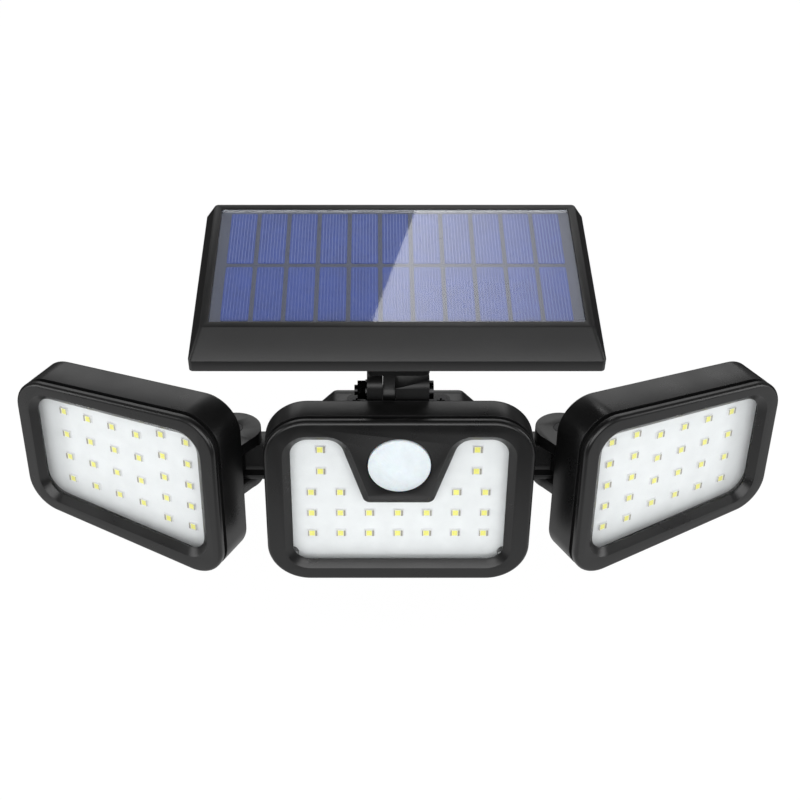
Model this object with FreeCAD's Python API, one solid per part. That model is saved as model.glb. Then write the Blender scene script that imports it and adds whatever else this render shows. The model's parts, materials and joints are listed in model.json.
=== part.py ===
import FreeCAD, Part
import math
import os

from FreeCAD import Placement, Rotation, Vector

# A solar motion-sensor security light for a wall: a middle lamp with the sensor, two side lamps on
# upright hinge pins, and a tilting solar panel above. Millimetres. +Z is up, the lamps face -Y, and
# the origin is the middle of the wall bracket's back face, so the wall is the plane Y = 0. The pieces
# are drawn about the height of the middle lamp and are raised together when they are written out.

os.makedirs("parts", exist_ok=True)

# ---- driving dimensions ---------------------------------------------------------------------------

# fits and clearances
screw_clearance = 0.05      # radial, between a screw and the hole it is driven into
pin_clearance = 0.06        # radial, between a hinge pin and the piece that turns on it
slip_gap = 0.15             # each side, between a piece and the pocket it drops into
joint_gap = 0.3             # between faces that slide past each other at a hinge
least_corner = 0.4          # the least rounding that an inset outline keeps
cut_over = 1.0              # how far a cutting body reaches past what it cuts

# middle lamp, seen from the front
lamp_width = 102.2
lamp_height = 75.7
lamp_corner = 16.6
lamp_depth = 16.8
lamp_front = -72.0          # Y of the front face
window_width = 82.3
window_height = 57.7
window_corner = 6.8
window_raise = -0.25        # how far the window's middle is above the lamp's middle

# the sensor hood that hangs into the middle lamp's window
hood_top_half = 22.7
hood_bottom_half = 13.1
hood_bottom = -0.9
hood_top_corner = 7.0
hood_bottom_corner = 3.0
hood_bottom_bevel = 4.8

# side lamps: the end next to the middle lamp is the taller one
side_width = 93.9
side_inner_height = 76.2
side_outer_height = 60.6
side_corner = 13.9
side_depth = 19.8
side_window_width = 75.9
side_window_inner_height = 56.1
side_window_outer_height = 46.6
side_window_corner = 7.5
side_window_raise = 0.44
side_board_depth = 9.2
side_shell_edge = 1.2       # rounding of a side shell's rear edge

# front frame of every lamp
bezel_thick = 2.7
bezel_edge = 1.5            # rounding of the front frame's outer edge
bevel_width = 2.9           # bevel round the window, seen from the front
bevel_depth = 2.3
rim_thick = 1.6             # wall of the rim that plugs into the shell
gasket_thick = 2.0
gasket_recess = 0.9         # how far the gasket lies inside the lamp's outer face
lens_thick = 1.8
lens_seat = 2.4             # how far the lens reaches behind the frame
lens_gap = 0.1
board_depth = 7.2           # from the middle lamp's front face to the face of its emitter board
board_thick = 1.6
board_gap = 0.4
column_radius = 2.6
column_inset = 5.95         # from the rounded corner to the middle of a screw column
post_radius = 2.5
post_inset = 7.0            # from the outline to the middle of a board post

# shells
shell_wall = 2.2
shell_back = 2.4
shell_edge = 3.0            # rounding of the middle shell's rear edge

# light emitters
led_long = 3.5
led_high = 2.8
led_thick = 0.8
led_pitch = 11.2
led_row_pitch = 10.07
led_bottom_row = -18.84
led_pair_offset = 29.8
side_led_pitch = 11.74
side_led_rows_of_four = 11.15
side_led_rows_of_five = 10.26
side_led_shift = -0.39
side_led_raise = -1.05
side_led_five_raise = 0.2

# sensor
dome_radius = 12.25
dome_rise = 3.6
dome_wall = 1.0
dome_height = 18.0          # above the middle of the lamp
dome_flange = 1.7           # how far the flange reaches past the dome
dome_flange_thick = 1.0
dome_ring_wall = 3.4
sensor_can_radius = 4.1
sensor_can_height = 4.4
sensor_foot_radius = 4.7
sensor_foot_thick = 0.6
sensor_lead_radius = 0.25
sensor_lead_circle = 2.54

# rear box of the middle lamp
box_end_room = 1.65         # between a battery clip and the box's side wall
box_height = 54.0
box_corner = 12.0           # 45 degree corner cut
box_corner_round = 3.0
box_depth = 19.2            # behind the lamp's shell
box_opening_width = 36.0    # the wires pass through here
box_opening_height = 24.0
cover_thick = 2.4
cover_lip = 3.0
cover_screw_inset_x = 10.8  # from the box's side wall to a cover screw
cover_screw_inset_z = 9.8   # from the box's top or floor to a cover screw
cover_head_gap = 0.55       # from a cover screw's head to the wall bracket's sleeve
boss_height = 24.0
boss_reach = 17.0
boss_corner = 4.0
boss_wall = 2.6
boss_screw_y = -22.0

# what the rear box holds
cell_radius = 9.1
cell_length = 65.2
cell_button_radius = 2.8
cell_button_height = 1.2
cell_y = -45.8
clip_thick = 0.5
clip_size = 13.0
clip_gap = 0.05
control_width = 66.0
control_height = 48.0
control_thick = 1.6
control_corner = 1.0
control_blocks = {          # X, Z of the middle, then width, height and thickness
    "chip": (0.0, 1.0, 12.0, 8.0, 1.4),
    "terminal": (18.0, -11.0, 12.0, 6.0, 2.6),
    "driver": (-21.0, -11.0, 6.0, 6.0, 1.2),
}
control_drums = {           # X, Z of the middle, then radius and thickness
    "choke": (-16.0, 8.0, 3.2, 2.6),
    "capacitor": (16.0, 10.0, 2.6, 2.8),
}

# wall bracket
bracket_drop = 15.0         # how far its middle is below the middle of the lamp
bracket_width = 90.0
bracket_height = 28.0
bracket_thick = 3.5
bracket_corner = 6.0
bracket_wall = 2.6
bracket_edge = 1.0          # rounding of the plate's front edge
bracket_screw_reach = 1.5   # past the boss's wall
wall_hole_radius = 2.3
wall_hole_span_x = 74.0
wall_hole_span_z = 14.0
wall_sink_radius = 4.4

# side hinges
pin_x = 64.4
pin_y = -43.7
pin_radius = 2.0
pin_head_radius = 3.3
pin_head_height = 2.0
pin_nut_flats = 7.0
pin_nut_height = 3.0
ear_radius = 10.5
ear_root_half = 8.6         # half the width of an ear where it leaves the side shell
flange_radius = 9.0         # of the arm's flange, clear of the side shell's back
ear_top = 16.0
ear_thick = 5.0
ear_lower_thick = 4.7
knuckle_radius = 6.5
flange_thick = 1.8
arm_half = 5.0
flange_top = -0.7
side_rest_turn = 27.6       # how far the side lamps are swung outwards in the stored pose
side_pin_along = 37.2       # from a side lamp's middle to its pin, along the lamp
side_pin_behind = 29.2      # from a side lamp's front face to its pin

# screws
screw_radius = 1.45
screw_head_radius = 2.9
screw_head_height = 1.8
screw_length = 9.0
drive_radius = 1.5
drive_slot = 0.7
drive_depth = 1.0
machine_screw_radius = 2.0
machine_head_radius = 3.6
machine_head_height = 2.2

# solar panel, with its middle at the middle of its top face
panel_slope = 10.6          # rise towards the wall, degrees
panel_mid_x = -1.6
panel_mid_y = -45.3
panel_mid_z = 90.0
panel_top_width = 136.9
panel_top_length = 70.2
panel_corner = 1.5
panel_front_run = 9.1       # how far the front slope reaches out
panel_side_run = 3.8
panel_slope_drop = 7.7
panel_lip = 4.7
panel_rim = 3.0
panel_wall = 2.2
glass_thick = 1.4
glass_below = 0.3
solar_cell_thick = 0.3
backing_thick = 1.2
cell_columns = 11
cell_rows = 2
cell_gap = 1.0
cell_end_margin = 0.9
cell_side_margin = 3.5
tray_web = 2.2
base_cover_thick = 2.0
panel_screw_inset = 7.5
panel_screw_length = 6.5
panel_post_radius = 3.0
glass_corner = 0.8

# tilt joint under the panel
tilt_y = -48.0
tilt_z = 36.6
fork_foot_thick = 3.0
fork_foot_long = 40.0
fork_foot_wide = 14.0
fork_foot_corner = 3.0
fork_half = 6.5
fork_rise = 8.0
fork_ear_round = 3.5
fork_screw_length = 7.0
fork_left = -12.2
fork_right = 11.4
fork_slope_drop = 3.4
tongue_left = -6.1
tongue_thick = 4.6
tongue_radius = 5.6
tongue_step = 1.0           # from the tongue's round end to its flat sides
tongue_root = 2.0           # how far the tongue reaches into the neck block
neck_gap = 11.5             # from the tilt axis to the underside of the neck block
neck_half = 8.0
neck_corner = 3.0
neck_plate_width = 50.0
neck_plate_length = 40.0
neck_plate_thick = 3.0
neck_plate_corner = 4.0
neck_plate_back = 10.0      # how far its middle is behind the tilt axis, along the slope
neck_screw_x = 18.0
neck_screw_v = 13.0
neck_screw_reach = 1.5      # past the panel's base
fork_screw_x = 16.2
tilt_head_height = 1.8
tilt_washer_radius = 4.0
tilt_washer_thick = 0.6
tilt_nut_height = 3.0
tilt_bolt_reach = 4.8       # past the fork's left ear

# mode button under the rear box
button_radius = 5.0
button_out = 1.6
button_y = -46.5
button_flange = 1.3
button_flange_thick = 1.0
button_travel = 0.8
button_free_play = 0.1
button_stem_radius = 1.7
button_stem_length = 6.4
switch_size = 7.0
switch_height = 4.0
switch_board_long = 24.0
switch_board_wide = 10.0
switch_board_thick = 1.2
switch_post_x = 9.0
switch_post_radius = 2.0
switch_board_rise = 11.0    # above the inside of the box's floor
switch_well_floor = 0.6

# ---- places worked out from them ------------------------------------------------------------------

gasket_front = bezel_thick
shell_front = gasket_front + gasket_thick
rim_inset = shell_wall + slip_gap
lens_front = bezel_thick + lens_gap
board_back = board_depth + board_thick
box_width = cell_length + 2 * (clip_gap + clip_thick + box_end_room + shell_wall)
# the boss on the cover plugs into the wall bracket between the cover screws
boss_width = box_width - 2 * (cover_screw_inset_x + screw_head_radius + cover_head_gap + bracket_wall
                              + slip_gap)
box_back = lamp_depth + box_depth
cover_back = box_back + cover_thick
cover_back_y = lamp_front + cover_back
box_top = box_height / 2
ear_lower_top = flange_top - flange_thick - joint_gap
ear_lower_bottom = ear_lower_top - ear_lower_thick
ear_underside = ear_top - ear_thick
knuckle_top = ear_underside - joint_gap
glass_width = panel_top_width - 2 * panel_rim
glass_length = panel_top_length - 2 * panel_rim
cell_pitch = (glass_width - 2 * cell_side_margin + cell_gap) / cell_columns
glass_pocket = glass_below + glass_thick + solar_cell_thick + backing_thick
panel_bottom = panel_slope_drop + panel_lip
tongue_right = tongue_left + tongue_thick
fork_gap_left = tongue_left - slip_gap
fork_gap_right = tongue_right + slip_gap
switch_board_bottom = -box_height / 2 + shell_wall + switch_board_rise


# ---- helpers --------------------------------------------------------------------------------------

class Outline:
    """A closed outline in an X-Z plane, anticlockwise from the front, with rounded corners."""

    def __init__(self, corners, radii):
        self.corners = corners
        self.radii = radii if isinstance(radii, list) else [radii] * len(corners)

    def turn(self, index):
        """Unit vectors from a corner to the one before and the one after, and whether it juts out."""
        here = self.corners[index]
        before = self.corners[index - 1]
        after = self.corners[(index + 1) % len(self.corners)]
        to_before = Vector(before[0] - here[0], 0, before[1] - here[1]).normalize()
        to_after = Vector(after[0] - here[0], 0, after[1] - here[1]).normalize()
        juts_out = to_after.x * to_before.z - to_after.z * to_before.x > 0
        return to_before, to_after, juts_out

    def arc(self, index, depth):
        """Centre, start, middle and end of the rounding at one corner."""
        to_before, to_after, _ = self.turn(index)
        radius = self.radii[index]
        corner = Vector(self.corners[index][0], depth, self.corners[index][1])
        half_angle = to_before.getAngle(to_after) / 2
        inward = (to_before + to_after).normalize()
        centre = corner + inward * (radius / math.sin(half_angle))
        run = radius / math.tan(half_angle)
        return centre, corner + to_before * run, centre - inward * radius, corner + to_after * run

    def corner_point(self, index, inset):
        """A point inside a rounded corner, on its bisector, as (x, z)."""
        centre, _, middle, _ = self.arc(index, 0)
        outward = (middle - centre).normalize()
        point = middle - outward * inset
        return point.x, point.z

    def grown(self, distance):
        """The same outline with its edges moved outwards by one distance, or by one for each edge."""
        count = len(self.corners)
        steps = distance if isinstance(distance, list) else [distance] * count
        edges = []
        for index in range(count):
            start = self.corners[index]
            end = self.corners[(index + 1) % count]
            along = Vector(end[0] - start[0], 0, end[1] - start[1]).normalize()
            outward = Vector(along.z, 0, -along.x)
            edges.append((Vector(start[0], 0, start[1]) + outward * steps[index], along))
        corners = []
        radii = []
        for index in range(count):
            point, along = edges[index - 1]
            other, other_along = edges[index]
            across = along.x * other_along.z - along.z * other_along.x
            gap = other - point
            reach = (gap.x * other_along.z - gap.z * other_along.x) / across
            meeting = point + along * reach
            corners.append((meeting.x, meeting.z))
            _, _, juts_out = self.turn(index)
            step = min(steps[index - 1], steps[index])
            change = step if juts_out else -step
            radii.append(max(self.radii[index] + change, least_corner))
        return Outline(corners, radii)

    def wire(self, depth):
        edges = []
        count = len(self.corners)
        arcs = [self.arc(index, depth) for index in range(count)]
        for index in range(count):
            _, start, middle, end = arcs[index]
            edges.append(Part.Arc(start, middle, end).toShape())
            following = arcs[(index + 1) % count][1]
            if end.distanceToPoint(following) > 0.001:
                edges.append(Part.LineSegment(end, following).toShape())
        return Part.Wire(edges)

    def prism(self, front, back):
        return Part.Face(self.wire(front)).extrude(Vector(0, back - front, 0))

    def ring(self, inner, front, back):
        return self.prism(front, back).cut(inner.prism(front, back))


def rectangle(width, height, corner, raised=0.0):
    half = width / 2
    top = raised + height / 2
    bottom = raised - height / 2
    return Outline([(-half, bottom), (half, bottom), (half, top), (-half, top)], corner)


def rod(radius, start, end):
    """A round bar between two points."""
    return Part.makeCylinder(radius, (end - start).Length, start, end - start)


def hexagon(flats, start, end):
    """A six-sided bar, as a nut or its pocket, between two points."""
    sides = 6
    corner = flats / 2 / math.cos(math.pi / sides)
    points = []
    for step in range(sides + 1):
        angle = 2 * math.pi * step / sides
        points.append(Vector(corner * math.cos(angle), corner * math.sin(angle), 0))
    bar = Part.Face(Part.makePolygon(points)).extrude(Vector(0, 0, (end - start).Length))
    bar.Placement = Placement(start, Rotation(Vector(0, 0, 1), end - start))
    return bar


def block(low, high):
    return Part.makeBox(high[0] - low[0], high[1] - low[1], high[2] - low[2], Vector(*low))


def joined(shapes):
    result = shapes[0]
    for shape in shapes[1:]:
        result = result.fuse(shape)
    return result.removeSplitter()


def without(shape, tools):
    for tool in tools:
        shape = shape.cut(tool)
    return shape


def edge_rounded(shape, depth, radius):
    """Round the edges that lie in the plane Y = depth."""
    edges = []
    for edge in shape.Edges:
        box = edge.BoundBox
        if abs(box.YMin - depth) < 0.001 and abs(box.YMax - depth) < 0.001:
            edges.append(edge)
    return shape.makeFillet(radius, edges)


def mirrored(shape):
    return shape.mirror(Vector(0, 0, 0), Vector(1, 0, 0))


def screw(head_seat, direction, radius, length, head_radius, head_height):
    """A pan-head cross-recess screw whose head rests at head_seat and whose shank runs along direction."""
    way = Vector(direction).normalize()
    top = head_seat - way * head_height
    body = rod(radius, head_seat - way * (head_height / 2), head_seat + way * length)
    head = rod(head_radius, top, head_seat)
    slot_a = block((-drive_radius, -drive_slot / 2, 0), (drive_radius, drive_slot / 2, drive_depth))
    slot_b = block((-drive_slot / 2, -drive_radius, 0), (drive_slot / 2, drive_radius, drive_depth))
    recess = slot_a.fuse(slot_b)
    recess.Placement = Placement(top, Rotation(Vector(0, 0, 1), way))
    return joined([head, body]).cut(recess)


def write(name, shape):
    raised = shape.copy()
    raised.translate(Vector(0, 0, bracket_drop))
    raised.exportStep("parts/" + name + ".step")
    box = raised.BoundBox
    print(name, len(shape.Solids), "solids", shape.isValid(), round(shape.Volume),
          [round(v, 1) for v in (box.XMin, box.YMin, box.ZMin, box.XMax, box.YMax, box.ZMax)])


# ---- lamps ----------------------------------------------------------------------------------------

def lamp_mid_posts(outline_box):
    """Middles of the four posts behind a light-emitter board, one near each edge of the lamp."""
    half_width, half_height = outline_box
    return [(half_width - post_inset, 0), (post_inset - half_width, 0),
            (0, half_height - post_inset), (0, post_inset - half_height)]


class Lamp:
    """What the three lamps share: outlines, and the pieces that follow from them, facing -Y."""

    def __init__(self, outline, window, bevels, half_size, depth, board_front, rear_edge, screwed_corners):
        self.outline = outline
        self.window = window
        self.bevelled = window.grown(bevels)
        self.posts = lamp_mid_posts(half_size)
        self.depth = depth
        self.board_front = board_front
        self.board_back = board_front + board_thick
        self.rear_edge = rear_edge
        self.columns = [outline.corner_point(index, column_inset) for index in screwed_corners]
        self.column_end = depth - shell_back - slip_gap

    def round_bars(self, points, radius, front, back):
        return [rod(radius, Vector(x, front, z), Vector(x, back, z)) for x, z in points]

    def bezel(self):
        plate = edge_rounded(self.outline.prism(0, bezel_thick), 0, bezel_edge)
        bevel = Part.makeLoft([self.bevelled.wire(0), self.window.wire(bevel_depth)], True, True)
        opening = self.window.prism(bevel_depth / 2, bezel_thick + 1)
        rim_outline = self.outline.grown(-rim_inset)
        rim = rim_outline.ring(rim_outline.grown(-rim_thick), bezel_thick, self.board_front)
        columns = self.round_bars(self.columns, column_radius, bezel_thick / 2, self.column_end)
        pilots = self.round_bars(self.columns, screw_radius + screw_clearance,
                                 self.depth - screw_length - 1, self.depth)
        return without(joined([plate, rim] + columns), [bevel, opening] + pilots)

    def gasket(self):
        outer = self.outline.grown(-gasket_recess)
        inner = self.outline.grown(-rim_inset + slip_gap / 2)
        return outer.ring(inner, gasket_front, shell_front)

    def lens(self):
        sheet = self.window.grown(lens_seat).prism(lens_front, lens_front + lens_thick)
        notches = self.round_bars(self.columns, column_radius + slip_gap, lens_front - 1, self.board_front)
        return without(sheet, notches)

    def board(self):
        sheet = self.outline.grown(-shell_wall - board_gap).prism(self.board_front, self.board_back)
        notches = self.round_bars(self.columns, column_radius + slip_gap, self.board_front - 1,
                                  self.board_back + 1)
        return without(sheet, notches)

    def leds(self, places):
        bodies = []
        for x, z in places:
            bodies.append(block((x - led_long / 2, self.board_front - led_thick, z - led_high / 2),
                                (x + led_long / 2, self.board_front, z + led_high / 2)))
        return Part.makeCompound(bodies)

    def shell(self):
        outer = edge_rounded(self.outline.prism(shell_front, self.depth), self.depth, self.rear_edge)
        hollow = self.outline.grown(-shell_wall).prism(shell_front, self.depth - shell_back)
        posts = self.round_bars(self.posts, post_radius, self.board_back, self.depth - shell_back / 2)
        holes = self.round_bars(self.columns, screw_radius + screw_clearance,
                                self.depth - shell_back - 1, self.depth + 1)
        return without(joined([outer.cut(hollow)] + posts), holes)

    def screws(self):
        shapes = []
        for x, z in self.columns:
            shapes.append(screw(Vector(x, self.depth, z), Vector(0, -1, 0), screw_radius, screw_length,
                                screw_head_radius, screw_head_height))
        return Part.makeCompound(shapes)


def middle_lamp():
    outline = rectangle(lamp_width, lamp_height, lamp_corner)
    half = window_width / 2
    top = window_raise + window_height / 2
    bottom = window_raise - window_height / 2
    corners = [(-half, bottom), (half, bottom), (half, top), (hood_top_half, top),
               (hood_bottom_half, hood_bottom), (-hood_bottom_half, hood_bottom),
               (-hood_top_half, top), (-half, top)]
    radii = [window_corner] * 3 + [hood_top_corner] + [hood_bottom_corner] * 2
    radii += [hood_top_corner, window_corner]
    bevels = [bevel_width] * len(corners)
    bevels[4] = hood_bottom_bevel
    half_size = (lamp_width / 2, lamp_height / 2)
    screwed = range(len(outline.corners))
    return Lamp(outline, Outline(corners, radii), bevels, half_size, lamp_depth, board_depth, shell_edge,
                screwed)


def side_lamp():
    """The lamp on the viewer's left, flat on: its taller end, next to the middle lamp, is at +X."""
    def tapered(width, inner_height, outer_height, corner, raised):
        half = width / 2
        corners = [(-half, raised - outer_height / 2), (half, raised - inner_height / 2),
                   (half, raised + inner_height / 2), (-half, raised + outer_height / 2)]
        return Outline(corners, corner)
    outline = tapered(side_width, side_inner_height, side_outer_height, side_corner, 0)
    window = tapered(side_window_width, side_window_inner_height, side_window_outer_height,
                     side_window_corner, side_window_raise)
    mid_height = (side_inner_height + side_outer_height) / 2
    half_size = (side_width / 2, mid_height / 2)
    lower_outer = 0  # this corner shows through the lens, so it has no screw column
    screwed = range(lower_outer + 1, len(outline.corners))
    return Lamp(outline, window, bevel_width, half_size, side_depth, side_board_depth, side_shell_edge,
                screwed)


def middle_led_places():
    places = []
    for row in range(2):
        for column in range(-3, 4):
            places.append((column * led_pitch, led_bottom_row + row * led_row_pitch))
    for column in (-3, -2, 2, 3):
        places.append((column * led_pitch, led_bottom_row + 2 * led_row_pitch))
    for row in (3, 4):
        for side in (-1, 1):
            places.append((side * led_pair_offset, led_bottom_row + row * led_row_pitch))
    return places


def side_led_places():
    places = []
    for column in range(6):
        in_column = 4 if column < 4 else 5
        pitch = side_led_rows_of_four if in_column == 4 else side_led_rows_of_five
        raised = side_led_raise + (side_led_five_raise if in_column == 5 else 0)
        for row in range(in_column):
            along = (column - 2.5) * side_led_pitch + side_led_shift
            places.append((along, raised + (row - (in_column - 1) / 2) * pitch))
    return places


def in_middle(shape):
    """Move a piece of the middle lamp from flat-on coordinates to its place."""
    moved = shape.copy()
    moved.translate(Vector(0, lamp_front, 0))
    return moved


def on_left_pin(shape):
    """Swing a flat-on left lamp about its hinge pin into the stored pose."""
    moved = shape.copy()
    moved.translate(Vector(-side_pin_along, -side_pin_behind, 0))
    moved.rotate(Vector(0, 0, 0), Vector(0, 0, 1), -side_rest_turn)
    moved.translate(Vector(-pin_x, pin_y, 0))
    return moved


# ---- middle lamp's own pieces ---------------------------------------------------------------------

def middle_bezel(lamp):
    hole = rod(dome_radius + slip_gap, Vector(0, -1, dome_height), Vector(0, bezel_thick + 1, dome_height))
    return in_middle(lamp.bezel().cut(hole))


def dome_profile(radius, rise, front):
    """Solid of revolution about the sensor axis: a shallow cap whose edge lies at Y = front."""
    sphere_radius = (radius * radius + rise * rise) / (2 * rise)
    centre = Vector(0, front - rise + sphere_radius, dome_height)
    ball = Part.makeSphere(sphere_radius, centre)
    keep = rod(radius, Vector(0, front - rise - 1, dome_height), Vector(0, front, dome_height))
    return ball.common(keep)


def sensor_dome():
    flange_front = bezel_thick
    flange_back = flange_front + dome_flange_thick
    cap = dome_profile(dome_radius, dome_rise, 0)
    skirt = rod(dome_radius, Vector(0, 0, dome_height), Vector(0, flange_back, dome_height))
    flange = rod(dome_radius + dome_flange, Vector(0, flange_front, dome_height),
                 Vector(0, flange_back, dome_height))
    hollow = rod(dome_radius - dome_wall, Vector(0, 0, dome_height), Vector(0, flange_back + 1, dome_height))
    hollow_cap = dome_profile(dome_radius - dome_wall, dome_rise - dome_wall, 0)
    return in_middle(without(joined([cap, skirt, flange]), [hollow, hollow_cap]))


def dome_ring():
    front = bezel_thick + dome_flange_thick
    outer = dome_radius + dome_flange
    ring = rod(outer, Vector(0, front, dome_height), Vector(0, board_depth, dome_height))
    hole = rod(outer - dome_ring_wall, Vector(0, front - 1, dome_height),
               Vector(0, board_depth + 1, dome_height))
    return in_middle(ring.cut(hole))


def sensor_can():
    foot = rod(sensor_foot_radius, Vector(0, board_depth - sensor_foot_thick, dome_height),
               Vector(0, board_depth, dome_height))
    can = rod(sensor_can_radius, Vector(0, board_depth - sensor_can_height, dome_height),
              Vector(0, board_depth, dome_height))
    leads = []
    for angle in (90, 210, 330):
        x = sensor_lead_circle * math.cos(math.radians(angle))
        z = dome_height + sensor_lead_circle * math.sin(math.radians(angle))
        leads.append(rod(sensor_lead_radius, Vector(x, board_depth - 1, z), Vector(x, board_back + 1, z)))
    return in_middle(joined([foot, can] + leads))


def middle_board(lamp):
    holes = []
    for angle in (90, 210, 330):
        x = sensor_lead_circle * math.cos(math.radians(angle))
        z = dome_height + sensor_lead_circle * math.sin(math.radians(angle))
        holes.append(rod(sensor_lead_radius + screw_clearance, Vector(x, board_depth - 1, z),
                         Vector(x, board_back + 1, z)))
    return in_middle(without(lamp.board(), holes))


def rear_box_outline():
    half = box_width / 2
    top = box_height / 2
    cut = box_corner
    corners = [(-half + cut, -top), (half - cut, -top), (half, -top + cut), (half, top - cut),
               (half - cut, top), (-half + cut, top), (-half, top - cut), (-half, -top + cut)]
    return Outline(corners, box_corner_round)


def cover_screw_places():
    across = box_width / 2 - cover_screw_inset_x
    up = box_height / 2 - cover_screw_inset_z
    return [(x, z) for x in (-across, across) for z in (-up, up)]


def hinge_arm():
    """The left arm: knuckle, web and the flange that shows under it."""
    pin_at = Vector(-pin_x, pin_y, 0)
    box_side = -box_width / 2 + shell_wall / 2
    flange_bottom = flange_top - flange_thick
    knuckle = rod(knuckle_radius, pin_at + Vector(0, 0, flange_bottom), pin_at + Vector(0, 0, knuckle_top))
    web = block((-pin_x, pin_y - arm_half, flange_bottom), (box_side, pin_y + arm_half, knuckle_top))
    disc = rod(flange_radius, pin_at + Vector(0, 0, flange_bottom), pin_at + Vector(0, 0, flange_top))
    flange_back = min(pin_y + flange_radius, lamp_front + box_back)
    plate = block((-pin_x, pin_y - flange_radius, flange_bottom), (box_side, flange_back, flange_top))
    bore = rod(pin_radius + pin_clearance, pin_at + Vector(0, 0, flange_bottom - 1),
               pin_at + Vector(0, 0, knuckle_top + 1))
    return without(joined([knuckle, web, disc, plate]), [bore])


def middle_shell(lamp):
    tub = lamp.shell()
    outline = rear_box_outline()
    box = outline.prism(lamp_depth - shell_back, box_back)
    hollow = outline.grown(-shell_wall).prism(lamp_depth, box_back + 1)
    opening = rectangle(box_opening_width, box_opening_height, shell_edge)
    opening_cut = opening.prism(lamp_depth - shell_back - 1, lamp_depth + 1)
    columns = lamp.round_bars(cover_screw_places(), column_radius, lamp_depth, box_back - cover_lip - 1)
    pilots = lamp.round_bars(cover_screw_places(), screw_radius + screw_clearance,
                             cover_back - screw_length - 1, box_back)
    body = joined([tub, box]).cut(hollow)
    body = without(joined([body] + columns), [opening_cut] + pilots)
    body = in_middle(body)

    floor = -box_height / 2
    button_hole = rod(button_radius + joint_gap, Vector(0, button_y, floor - 1),
                      Vector(0, button_y, floor + shell_wall + 1))
    fork_holes = []
    for side in (-1, 1):
        x = side * fork_screw_x
        fork_holes.append(rod(screw_radius + screw_clearance, Vector(x, tilt_y, box_top - shell_wall - 1),
                              Vector(x, tilt_y, box_top + 1)))
    switch_posts = []
    for side in (-1, 1):
        x = side * switch_post_x
        switch_posts.append(rod(switch_post_radius, Vector(x, button_y, floor + shell_wall / 2),
                                Vector(x, button_y, switch_board_bottom)))
    arm = hinge_arm()
    body = joined([body, arm, mirrored(arm)] + switch_posts)
    return without(body, [button_hole] + fork_holes)


def rear_cover(lamp):
    outline = rear_box_outline()
    plate = outline.prism(box_back, cover_back)
    lip_outline = outline.grown(-rim_inset)
    lip = lip_outline.ring(lip_outline.grown(-rim_thick), box_back - cover_lip, box_back)
    boss_outline = rectangle(boss_width, boss_height, boss_corner, -bracket_drop)
    boss = boss_outline.ring(boss_outline.grown(-boss_wall), cover_back, cover_back + boss_reach)
    holes = lamp.round_bars(cover_screw_places(), screw_radius + screw_clearance,
                            box_back - 1, cover_back + 1)
    cover = in_middle(without(joined([plate, lip, boss]), holes))
    pilots = []
    for side in (-1, 1):
        inner = -bracket_drop + side * (boss_height / 2 - boss_wall - 1)
        outer = -bracket_drop + side * (boss_height / 2 + 1)
        pilots.append(rod(machine_screw_radius + screw_clearance, Vector(0, boss_screw_y, inner),
                          Vector(0, boss_screw_y, outer)))
    return without(cover, pilots)


def cover_screws():
    shapes = []
    for x, z in cover_screw_places():
        shapes.append(screw(Vector(x, cover_back, z), Vector(0, -1, 0), screw_radius, screw_length,
                            screw_head_radius, screw_head_height))
    return in_middle(Part.makeCompound(shapes))


def wall_bracket():
    plate = rectangle(bracket_width, bracket_height, bracket_corner, -bracket_drop).prism(-bracket_thick, 0)
    plate = edge_rounded(plate, -bracket_thick, bracket_edge)
    inside = rectangle(boss_width, boss_height, boss_corner, -bracket_drop).grown(slip_gap)
    outside = inside.grown(bracket_wall)
    front = cover_back_y + joint_gap
    sleeve = outside.prism(front, -bracket_thick / 2)
    hollow = inside.prism(front - 1, -bracket_thick)
    holes = []
    for x in (-wall_hole_span_x / 2, wall_hole_span_x / 2):
        for z in (-bracket_drop - wall_hole_span_z / 2, -bracket_drop + wall_hole_span_z / 2):
            holes.append(rod(wall_hole_radius, Vector(x, -bracket_thick - 1, z), Vector(x, 1, z)))
            sink = Part.makeCone(wall_sink_radius, wall_hole_radius, wall_sink_radius - wall_hole_radius,
                                 Vector(x, -bracket_thick, z), Vector(0, 1, 0))
            holes.append(sink)
    for side in (-1, 1):
        inner = -bracket_drop + side * (boss_height / 2 - 1)
        outer = -bracket_drop + side * (boss_height / 2 + bracket_wall + slip_gap + 1)
        holes.append(rod(machine_screw_radius + screw_clearance, Vector(0, boss_screw_y, inner),
                         Vector(0, boss_screw_y, outer)))
    return without(joined([plate, sleeve]), [hollow] + holes)


def bracket_screws():
    shapes = []
    for side in (-1, 1):
        seat = -bracket_drop + side * (boss_height / 2 + slip_gap + bracket_wall)
        shapes.append(screw(Vector(0, boss_screw_y, seat), Vector(0, 0, -side), machine_screw_radius,
                            bracket_wall + boss_wall + bracket_screw_reach, machine_head_radius,
                            machine_head_height))
    return Part.makeCompound(shapes)


def battery():
    can_end = cell_length / 2 - cell_button_height
    can = rod(cell_radius, Vector(-cell_length / 2, cell_y, 0), Vector(can_end, cell_y, 0))
    button = rod(cell_button_radius, Vector(can_end - 1, cell_y, 0), Vector(cell_length / 2, cell_y, 0))
    return joined([can, button])


def battery_clips():
    shapes = []
    for side in (-1, 1):
        near = side * (cell_length / 2 + clip_gap)
        far = near + side * clip_thick
        shapes.append(block((min(near, far), cell_y - clip_size / 2, -clip_size / 2),
                            (max(near, far), cell_y + clip_size / 2, clip_size / 2)))
    return Part.makeCompound(shapes)


def control_board():
    back = lamp_front + lamp_depth - shell_back
    return rectangle(control_width, control_height, control_corner).prism(back - control_thick, back)


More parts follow.
